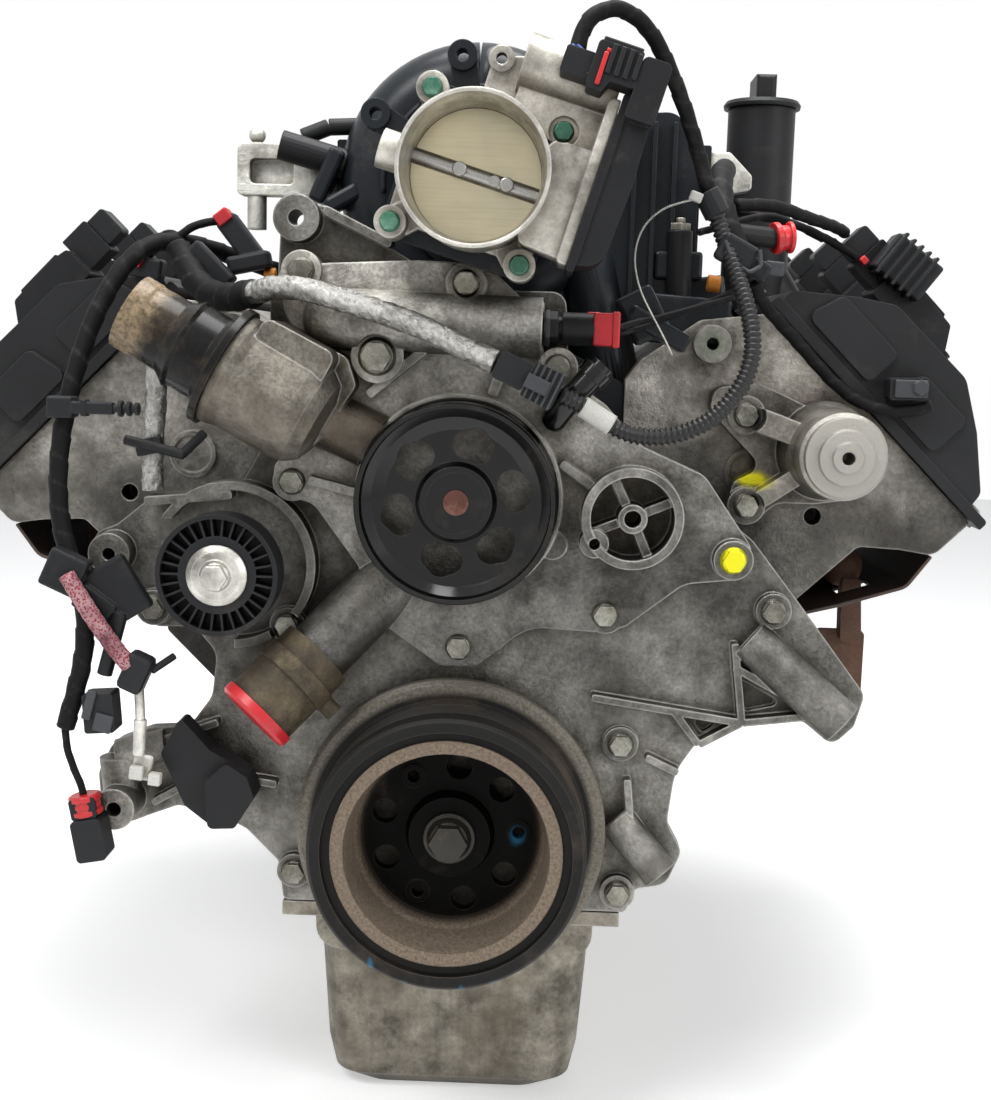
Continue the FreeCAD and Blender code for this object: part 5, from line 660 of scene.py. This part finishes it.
tapedLoom = {
    "stiffness": "medium", "lay": "hanging", "farEnd": "object", "shape": taped, "finish": "loomTape",
    "step": 0.0016, "ends": []}
looms = {
    "archLoom": {
        **tapedLoom, "node": "loom_arch", "diameter": 0.0104, "length": 0.181, "stiffness": "limp",
        "step": 0.0013, "sides": 20,
        "points": [(0.0668, -0.658, 0.497), (0.0685, -0.657, 0.509), (0.0765, -0.655, 0.519),
            (0.0895, -0.651, 0.5235), (0.103, -0.644, 0.5185), (0.1145, -0.634, 0.508),
            (0.1255, -0.621, 0.4915), (0.1365, -0.608, 0.471), (0.145, -0.6, 0.45), (0.1505, -0.598, 0.434),
            (0.156, -0.598, 0.4182)]},
    "conduitLoom": {
        **tapedLoom, "node": "loom_conduit", "diameter": 0.0112, "length": 0.257, "farEnd": "connector",
        "shape": corrugated, "finish": "conduitPlastic", "step": 0.0009, "sides": 20, "ends": ["greyHalf"],
        "points": [(0.1562, -0.598, 0.4174), (0.1607, -0.599, 0.404), (0.167, -0.606, 0.387),
            (0.174, -0.616, 0.366), (0.1805, -0.626, 0.344), (0.1825, -0.632, 0.3215),
            (0.1745, -0.636, 0.2997), (0.1555, -0.638, 0.2795), (0.1312, -0.638, 0.2701),
            (0.1065, -0.636, 0.2705), (0.0887, -0.636, 0.2811), (0.0734, -0.638, 0.2907),
            (0.0633, -0.64, 0.2954)]},
    "foilLoom": {
        **tapedLoom, "node": "loom_foil", "diameter": 0.016, "length": 0.273, "farEnd": "connector",
        "shape": crumpled, "finish": "foilTape", "sides": 32, "ends": ["connectors"],
        "points": [(-0.198, -0.542, 0.383), (-0.187, -0.556, 0.366), (-0.172, -0.568, 0.353),
            (-0.154, -0.582, 0.35), (-0.136, -0.6, 0.353), (-0.119, -0.618, 0.357), (-0.099, -0.63, 0.356),
            (-0.076, -0.634, 0.35), (-0.05, -0.635, 0.343), (-0.028, -0.636, 0.336), (-0.008, -0.638, 0.327),
            (0.008, -0.64, 0.32), (0.0227, -0.642, 0.314)]},
    "leftLoom": {
        **tapedLoom, "node": "loom_left", "diameter": 0.013, "length": 0.513, "sides": 22,
        "points": [(-0.111, -0.427, 0.371), (-0.129, -0.446, 0.371), (-0.148, -0.47, 0.375),
            (-0.167, -0.494, 0.381), (-0.185, -0.516, 0.387), (-0.203, -0.537, 0.39), (-0.219, -0.556, 0.384),
            (-0.234, -0.57, 0.363), (-0.247, -0.582, 0.33), (-0.256, -0.592, 0.295), (-0.261, -0.6, 0.262),
            (-0.263, -0.604, 0.23), (-0.261, -0.606, 0.203), (-0.255, -0.61, 0.183), (-0.246, -0.614, 0.165),
            (-0.241, -0.618, 0.146), (-0.241, -0.62, 0.12), (-0.246, -0.622, 0.094),
            (-0.254, -0.622, 0.068)]},
    "plugLead": {
        **tapedLoom, "node": "loom_left", "diameter": 0.0052, "length": 0.047, "stiffness": "limp",
        "farEnd": "plug", "sides": 12, "ends": ["plugRing"],
        "points": [(-0.2541, -0.622, 0.067), (-0.2535, -0.622, 0.055), (-0.249, -0.622, 0.041),
            (-0.2445, -0.622, 0.031), (-0.2422, -0.622, 0.0224)]},
    "rightTrunk": {
        **tapedLoom, "node": "loom_right", "diameter": 0.017, "length": 0.144, "step": 0.0018, "sides": 24,
        "points": [(0.177, -0.479, 0.452), (0.175, -0.494, 0.45), (0.171, -0.516, 0.446),
            (0.168, -0.537, 0.437), (0.167, -0.554, 0.422), (0.171, -0.564, 0.405), (0.179, -0.57, 0.388),
            (0.188, -0.571, 0.372)]},
    "railStrand": {
        **tapedLoom, "node": "loom_right", "diameter": 0.009, "length": 0.173, "lay": "loose", "step": 0.0014,
        "sides": 18,
        "points": [(0.1895, -0.5698, 0.3694), (0.195, -0.563, 0.359), (0.207, -0.55, 0.348),
            (0.222, -0.54, 0.335), (0.237, -0.536, 0.32), (0.252, -0.5355, 0.305), (0.268, -0.536, 0.293),
            (0.286, -0.537, 0.2875), (0.304, -0.539, 0.287), (0.318, -0.54, 0.292)]},
    "coilStrand": {
        **tapedLoom, "node": "loom_right", "diameter": 0.009, "length": 0.128, "lay": "loose", "step": 0.0014,
        "sides": 18,
        "points": [(0.1784, -0.5492, 0.4212), (0.197, -0.534, 0.424), (0.214, -0.52, 0.423),
            (0.231, -0.506, 0.419), (0.247, -0.491, 0.4165), (0.26, -0.474, 0.415), (0.269, -0.458, 0.413)]},
}
ends = {"connectors": nodes["loom_connectors"], "plugRing": plugRing(plugSettings),
        "greyHalf": greyHalf(halfSettings)}
for name, s in looms.items():
    line, length = evenLine(routeLine(s["points"]), s["step"])
    form = bmesh.new()
    tubeAlong(form, line, s["diameter"] / 2, s["sides"], s["shape"])
    piece = newPiece(name, form, s["finish"])
    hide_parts(s["node"])
    print(name, round(length, 4), "m long")


# Smaller fittings: blocks have centre, size, turn and rounding, rods have two or more points, radius and
# sides

plugRibs = [((x, 156.8, z), (3.0, 2.6, high), 17, 0.6)
            for x, z, high in ((86, 489, 17), (91, 487.5, 17), (96, 486, 17), (101, 484.5, 15))]
coilRibs = [((x, -56, z), (2.6, 30, 35), 37, 0.8)
            for x, z in ((299.7, 398.0), (305.3, 393.8), (310.9, 389.6), (316.5, 385.4), (322.1, 381.2))]
fittings = {
    "sensorLock": {
        "finish": "redPlastic",
        "blocks": [((90, 79, 336), (13, 21, 21), 0, 1.5), ((98, 79, 336), (5, 23, 23), 0, 1.2),
            ((84, 79, 345.5), (9, 8, 3), 0, 0.8)]},
    "sensorBody": {
        "finish": "greyPlastic",
        "rods": [((46, 79, 336), (50, 79, 336), 12.4, 6), ((53, 79, 336), (56, 79, 336), 11.8, 6)]},
    "throttleLock": {
        "finish": "redPlastic",
        "blocks": [((80.5, 156.6, 483.6), (2.8, 2.6, 19.0), 17, 0.6),
            ((84.5, 151.0, 493.8), (3.0, 11.0, 2.4), 17, 0.6)]},
    "throttlePlugRibs": {
        "finish": "connectorPlastic",
        "blocks": plugRibs + [((93.0, 150.0, 497.2), (24.0, 10.0, 3.0), 17, 0.8)]},
    "blueLeads": {
        "finish": "blueWire",
        "rods": [((63.5, 142, 499), (68, 149, 491), (75, 152, 485), 1.3, 10),
            ((65.5, 140, 500), (70, 148, 494), (76.5, 152, 489), 1.3, 10)]},
    "orangeLeads": {
        "finish": "orangeWire", "rods": [((62.5, 141, 497), (65, 148, 487), (73, 152, 481), 1.3, 10)]},
    "tubeCap": {
        "finish": "redPlastic",
        "rods": [((203, 31, 400), (207, 30, 400.5), 10.5, 28), ((207, 30, 400.5), (213, 28, 401), 8.2, 28),
            ((213, 28, 401), (216, 27.5, 401.2), 10.5, 28)]},
    "tubeStub": {"finish": "blackPlastic", "rods": [((174, 40, 402), (203, 31, 400), 7.0, 20)]},
    "loomClip": {
        "finish": "connectorPlastic",
        "blocks": [((172, 84, 386), (24, 12, 18), 28, 2.5), ((186, 80, 377), (16, 10, 12), 28, 2.0)],
        "rods": [((152, 78, 424), (160, 78, 410), 8.4, 18)]},
    "clipRim": {
        "finish": "greyPlastic",
        "rods": [((164, 91, 393), (170, 92, 379), (180, 92, 374), (187, 91, 378), (186, 91, 388), 1.3, 10)]},
    "smallPlug": {
        "finish": "greyPlastic", "blocks": [((199, 66, 378), (12, 12, 9), 5, 1.0)],
        "rods": [((184, 72, 378), (195, 67, 378), 3.0, 12)]},
    "baseCover": {
        "finish": "runnerPlastic",
        "blocks": [((150, -46, 362), (64, 20, 26), -8, 3.0), ((146, -30, 384), (34, 12, 20), 0, 2.5),
            ((118, 34, 347), (26, 26, 34), -28, 3.0), ((128, 40, 338), (12, 30, 44), -62, 2.0),
            ((153, -10, 345), (58, 14, 34), 4, 3.0)]},
    "servoPipe": {
        "finish": "blackPlastic",
        "rods": [((-138, -28, 461), (-92, -34, 449), 10.5, 24),
            ((-124, -40, 468), (-106, -44, 476), (-78, -48, 478), 6.0, 20)]},
    "padRibs": {
        "finish": "runnerPlastic",
        "blocks": [((-104, -30, 440), (12, 22, 40), 24, 3.0), ((-92, -24, 424), (26, 16, 12), -30, 3.0)]},
    "screwHeads": {
        "finish": "machined",
        "rods": [((-1.5, 131, 428.0), (-1.5, 134.5, 428.0), 4.4, 24),
            ((27, 131, 419.3), (27, 134.5, 419.3), 4.4, 24)],
        "body": "throttle"},
    "tallPost": {"finish": "blackPlastic", "rods": [((147, -24, 352), (146, -24, 408), 9.0, 24)]},
    "postNut": {
        "finish": "zincBolt",
        "rods": [((146, -24, 408), (146, -24, 413), 8.0, 6), ((146, -24, 413), (146, -24, 417), 3.6, 16)]},
    "railSeals": {
        "finish": "orangeRubber",
        "rods": [((166, -18, 372), (175, -18, 371), 6.0, 20), ((-141, 12, 368), (-133, 12, 368), 5.0, 20)]},
    "leftPlugs": {
        "finish": "connectorPlastic",
        "blocks": [((-158, 10, 392), (15, 15, 34), -38, 2.0), ((-176, 24, 372), (15, 15, 36), -46, 2.0),
            ((-151, 14, 376), (30, 14, 12), -12, 2.5), ((-228, -8, 372), (24, 16, 14), 8, 2.0)]},
    "leftLocks": {
        "finish": "redPlastic",
        "blocks": [((-169, 12, 406), (11, 15.8, 9), -38, 1.0), ((-231, 1, 378), (7, 5, 12), 30, 1.0),
            ((-226, 1, 384), (10, 5, 5), 20, 1.0), ((-189, 33, 373), (8, 4, 11), -30, 1.0)]},
    "armClip": {
        "finish": "connectorPlastic",
        "blocks": [((-259, 84, 277), (17, 16, 14), 0, 1.5), ((-238, 88, 277), (28, 7, 8), 0, 1.2),
            ((-243, 88, 277), (4, 9, 11), 0, 0.8)],
        "rods": [((-226, 88, 277), (-207, 88, 277), 2.6, 14), ((-221, 88, 277), (-218, 88, 277), 5.4, 16),
            ((-215.5, 88, 277), (-212.5, 88, 277), 4.8, 16),
            ((-210.5, 88, 277), (-207.5, 88, 277), 4.2, 16)]},
    "leftHolder": {
        "finish": "connectorPlastic",
        "blocks": [((-253, 100, 171), (26, 14, 26), 24, 2.0), ((-222, 97, 158), (36, 9, 40), -32, 2.5),
            ((-206, 104, 107), (17, 16, 26), 24, 3.5), ((-234, 100, 150), (26, 8, 18), 35, 2.0)],
        "rods": [((-217, 100, 146), (-228, 101, 104), 5.0, 16),
            ((-196, 104, 108), (-184, 92, 116), 2.4, 12)]},
    "silverRod": {
        "finish": "silverCast",
        "rods": [((-204, 106, 100), (-203, 106, 76), 3.2, 16), ((-203, 106, 76), (-204, 106, 52), 4.2, 16)],
        "blocks": [((-202, 104, 44), (13, 6, 18), 10, 2.0)]},
    "whiteCaps": {
        "finish": "whitePlastic",
        "blocks": [((-205, 108.5, 41), (9, 7, 9), 6, 1.0), ((-193, 108.5, 37), (8, 7, 8), 6, 1.0)]},
    "greyPlugRibs": {
        "finish": "greyPlastic",
        "blocks": [((-235, 111.5, 86), (6, 4, 20), 14, 1.0), ((-226, 111.2, 74), (12, 4, 12), 14, 1.0)]},
    "coilLock": {"finish": "redPlastic", "blocks": [((283, -58, 393), (6, 7, 5), 45, 0.8)]},
    "coilPlugRibs": {
        "finish": "connectorPlastic", "blocks": [((312.5, -56, 388.4), (42, 24, 30), 37, 2.0)] + coilRibs},
    "coverSensorTop": {
        "finish": "greyPlastic", "rods": [((308, 27.5, 304), (308, 30.0, 304), 5.5, 6)],
        "blocks": [((302, 26.5, 303), (22, 3.0, 12), 0, 0.8)]},
}
rimMost = 0.8
rimShare = 0.2
rimOfHexagon = 0.3
for name, s in fittings.items():
    form = bmesh.new()
    for centre, size, turn, soften in s.get("blocks", []):
        addBlock(form, at(*centre), size, turn, soften)
    for *points, radius, sides in s.get("rods", []):
        rim = min(rimMost, radius * rimShare) if sides > 6 else rimOfHexagon
        for start, end in zip(points, points[1:]):
            addRod(form, at(*start), at(*end), radius, sides=sides, soften=rim)
    newPiece(name, form, s["finish"], s.get("body", "engine"))
print("fittings made:", len(fittings))


# Intake runners: rings over the plenum with legs down to the heads, which the manifold's solid lacks

runnerSettings = {
    "count": 8, "first": 42.0, "pitch": 56.65, "ringRadius": 71.0, "tubeRadius": 28.0, "centre": (2.0, 437.0),
    "points": 72, "sides": 32, "legRadius": 23.0, "legInside": 4.0, "footX": 106.0, "footZ": 276.0,
    "legSides": 40, "seamRadius": 1.6, "seamInside": 6.0, "seamSunk": 0.6, "seamFrom": 0.42, "seamTurn": 0.62,
    "seamSteps": 40, "seamSides": 10}


def ringPlace(s, radius, ahead, angle):
    x, z = s["centre"]
    return at(x + radius * math.cos(angle), ahead, z + radius * math.sin(angle))


def intakeRunners(s):
    form = bmesh.new()
    x, z = s["centre"]
    for index in range(s["count"]):
        ahead = -(s["first"] + s["pitch"] * index)
        line = [ringPlace(s, s["ringRadius"], ahead, math.tau * number / s["points"] + math.pi / 2)
                for number in range(s["points"] + 1)]
        tubeAlong(form, line, s["tubeRadius"] / 1000, s["sides"], smooth)
        side = -1 if index % 2 else 1
        for leg in (side,) if index else (-1, 1):
            addRod(form, at(x + leg * (s["ringRadius"] - s["legInside"]), ahead, z),
                   at(leg * s["footX"], ahead, s["footZ"]), s["legRadius"], sides=s["legSides"])
        if index == 0:
            front = ahead + s["tubeRadius"] - s["seamSunk"]
            seam = [ringPlace(s, s["ringRadius"] - s["seamInside"], front,
                              math.pi * (s["seamFrom"] + s["seamTurn"] * number / s["seamSteps"]))
                    for number in range(s["seamSteps"] + 1)]
            tubeAlong(form, seam, s["seamRadius"] / 1000, s["seamSides"], smooth)
    for face in form.faces:
        face.smooth = True
    newPiece("intakeRunners", form, "runnerPlastic")


intakeRunners(runnerSettings)
print("intake runners made")


# Loose leads, with radius and route in millimetres

leads = {
    "leftLoopLead": {
        "radius": 3.0,
        "points": [(-206, 18, 386), (-196, 16, 396), (-184, 14, 402), (-172, 12, 404), (-164, 10, 400),
            (-158, 8, 394)]},
    "leftBackLead": {
        "radius": 3.4,
        "points": [(-196, 10, 384), (-204, 0, 394), (-214, -6, 396), (-224, -8, 388), (-229, -8, 376)]},
    "leftLowLead": {
        "radius": 3.6, "points": [(-200, 24, 384), (-192, 30, 376), (-184, 27, 372), (-176, 24, 372)]},
    "rightTopLead": {
        "radius": 3.2,
        "points": [(163, 20, 422), (189, -10, 419), (225, -40, 418), (257, -55, 407), (279, -60, 395)]},
    "rightMidLead": {
        "radius": 2.6,
        "points": [(153, 40, 402), (180, 10, 412), (208, -20, 421), (233, -45, 415), (252, -56, 407)]},
    "sensorLead": {
        "radius": 2.2,
        "points": [(97, 79, 336), (108, 74, 341), (124, 68, 344), (147, 60, 351), (177, 52, 360)]},
    "sensorBackLead": {
        "radius": 1.8,
        "points": [(97, 79, 333), (110, 70, 336), (128, 60, 343), (150, 52, 352), (176, 46, 364)]},
}
leadStep = 0.003
leadSides = 12
for name, s in leads.items():
    form = bmesh.new()
    tubeAlong(form, routeOf(s["points"], leadStep), s["radius"] / 1000, leadSides, taped)
    newPiece(name, form, "loomTape")


# short foil covered branch under the coolant neck, held by a strap
tailSettings = {
    "radius": 7.6,
    "points": [(-204, 58, 316), (-203, 61, 300), (-204, 62, 276), (-206, 62, 250), (-206, 62, 222)],
    "step": 0.0016, "sides": 28, "strapSides": 14, "soften": 0.6,
    "strap": [((-222, 72, 256), (-182, 72, 247), 3.4), ((-184, 72, 247), (-170, 66, 262), 3.2)],
    "buckle": ((-206, 70, 252), (18, 5, 11), -12, 1.0)}


def foilTail(s):
    form = bmesh.new()
    tubeAlong(form, routeOf(s["points"], s["step"]), s["radius"] / 1000, s["sides"], crumpled)
    newPiece("foilTail", form, "foilTape")
    form = bmesh.new()
    for start, end, radius in s["strap"]:
        addRod(form, at(*start), at(*end), radius, sides=s["strapSides"], soften=s["soften"])
    centre, size, turn, soften = s["buckle"]
    addBlock(form, at(*centre), size, turn, soften)
    newPiece("tailStrap", form, "connectorPlastic")


foilTail(tailSettings)
print("loose leads made")


# Sleeves, tape and tie: radius and step in metres, points in millimetres

# plain sleeve over the conduit's end, and black tape over the foil loom's start where the branches meet
sleeveSettings = {
    "loom": "conduitLoom", "from": 0.845, "to": 0.935, "radius": 0.0066, "step": 0.002, "sides": 24,
    "shape": smooth, "finish": "whitePlastic"}
bundleSettings = {
    "loom": "foilLoom", "from": 0.0, "to": 0.36, "radius": 0.0098, "step": 0.0016, "sides": 26,
    "shape": taped, "finish": "loomTape"}


def coveredLength(name, s):
    line = evenLine(routeLine(looms[s["loom"]]["points"]), s["step"])[0]
    form = bmesh.new()
    part = line[round(len(line) * s["from"]):round(len(line) * s["to"])]
    tubeAlong(form, part, s["radius"], s["sides"], s["shape"])
    newPiece(name, form, s["finish"])


tieSettings = {
    "radius": 0.0006,
    "points": [(146, 84, 419), (136, 80, 417), (124, 72, 413), (113, 62, 402), (109, 56, 384), (113, 60, 364),
        (121, 74, 347), (130, 86, 330), (134, 90, 321)],
    "step": 0.003, "sides": 8, "head": ((145, 86, 420), (8, 5, 6), 20, 0.8)}


def whiteTie(s):
    form = bmesh.new()
    tubeAlong(form, routeOf(s["points"], s["step"]), s["radius"], s["sides"], smooth)
    centre, size, turn, soften = s["head"]
    addBlock(form, at(*centre), size, turn, soften)
    newPiece("whiteTie", form, "whitePlastic")


braidSettings = {
    "radius": 0.0056,
    "points": [(-250, 107, 170), (-240, 110, 155), (-229, 111, 139), (-218, 110, 123), (-210, 107, 112)],
    "step": 0.002, "sides": 20, "ripple": 0.03, "rippleTurns": 900, "weave": 620.0, "patches": 60.0,
    "red": (0.24, 0.012, 0.03), "white": (0.42, 0.24, 0.25), "dirt": (0.10, 0.02, 0.03), "roughness": 0.7,
    "bump": 0.0004}


# red and white woven sleeve over the lead at the lower left
def braidMaterial(s):
    material, tree, shader, coords = newMaterial("wovenSleeve")
    weave = cells(tree, coords, s["weave"])
    broad = noise(tree, coords, s["patches"])
    colour = mix(tree, ramp(tree, weave, 0.38, 0.5), s["red"], s["white"])
    colour = mix(tree, ramp(tree, broad, 0.45, 0.7), colour, s["dirt"])
    fill(tree, shader, {"Base Color": colour, "Roughness": s["roughness"],
                        "Normal": bumped(tree, weave, s["bump"], 0.6)})
    return material


def braidedSleeve(s):
    def rippled(travelled, angle):
        return 1.0 + s["ripple"] * math.sin(travelled * s["rippleTurns"])

    form = bmesh.new()
    tubeAlong(form, routeOf(s["points"], s["step"]), s["radius"], s["sides"], rippled)
    newPiece("braidedSleeve", form, "wovenSleeve")


materials["wovenSleeve"] = braidMaterial(braidSettings)
coveredLength("tapedBundle", bundleSettings)
coveredLength("labelSleeve", sleeveSettings)
whiteTie(tieSettings)
braidedSleeve(braidSettings)
print("sleeves and tie made")


# Floor, backdrop and lamps

studio = {
    "floorSize": 9.0, "floorColour": (0.82, 0.82, 0.82), "floorGap": 0.0005, "floorRoughness": 0.9,
    "floorGlow": 0.45, "worldColour": (0.86, 0.88, 0.92), "worldStrength": 0.30, "aim": (0, -0.35, 0.15),
    "lamps": [("keyLamp", (-1.0, -2.1, 2.2), 1.0, 40.0), ("fillLamp", (1.8, -1.8, 1.0), 0.9, 15.0),
        ("topLamp", (0.15, -0.5, 2.2), 1.3, 60.0)]}


# the shown shader for light on the object, plain white for what the camera and reflections see
def whiteToCamera(tree, shown, white):
    seen = addNode(tree, "LightPath", {}).outputs
    total = seen["Is Camera Ray"]
    for ray in ("Is Transmission Ray", "Is Glossy Ray"):
        total = addNode(tree, "Math", {0: total, 1: seen[ray]}, operation="MAXIMUM").outputs[0]
    blend = addNode(tree, "MixShader", {"Fac": total, 1: shown, 2: white})
    return blend.outputs["Shader"]


def addStudio(s):
    world = bpy.data.worlds.new("studioWorld")
    world.use_nodes = True
    scene.world = world
    tree = world.node_tree
    soft = tree.nodes["Background"]
    fill(tree, soft, {"Color": (*s["worldColour"], 1), "Strength": s["worldStrength"]})
    white = addNode(tree, "Background", {"Color": grey(1), "Strength": 1.0})
    tree.links.new(whiteToCamera(tree, soft.outputs["Background"], white.outputs["Background"]),
                   tree.nodes["World Output"].inputs["Surface"])
    mesh = bpy.data.meshes.new("floor")
    form = bmesh.new()
    bmesh.ops.create_grid(form, x_segments=1, y_segments=1, size=s["floorSize"] / 2)
    form.to_mesh(mesh)
    form.free()
    floor = bpy.data.objects.new("floor", mesh)
    floor.location.z = cadBox[0][2] - s["floorGap"]
    scene.collection.objects.link(floor)
    material, tree, shader, coords = newMaterial("floorPaint")
    fill(tree, shader, {"Base Color": (*s["floorColour"], 1), "Roughness": s["floorRoughness"]})
    glow = addNode(tree, "Emission", {"Strength": s["floorGlow"]})
    add = addNode(tree, "AddShader", {0: shader.outputs["BSDF"], 1: glow.outputs["Emission"]})
    tree.links.new(whiteToCamera(tree, shader.outputs["BSDF"], add.outputs["Shader"]),
                   tree.nodes["Material Output"].inputs["Surface"])
    mesh.materials.append(material)
    for name, place, size, power in s["lamps"]:
        data = bpy.data.lights.new(name, "AREA")
        data.size = size
        data.energy = power
        lamp = bpy.data.objects.new(name, data)
        lamp.location = place
        lamp.rotation_euler = (Vector(s["aim"]) - Vector(place)).to_track_quat("-Z", "Y").to_euler()
        scene.collection.objects.link(lamp)


addStudio(studio)
scene.view_settings.view_transform = "Standard"
print("studio ready")
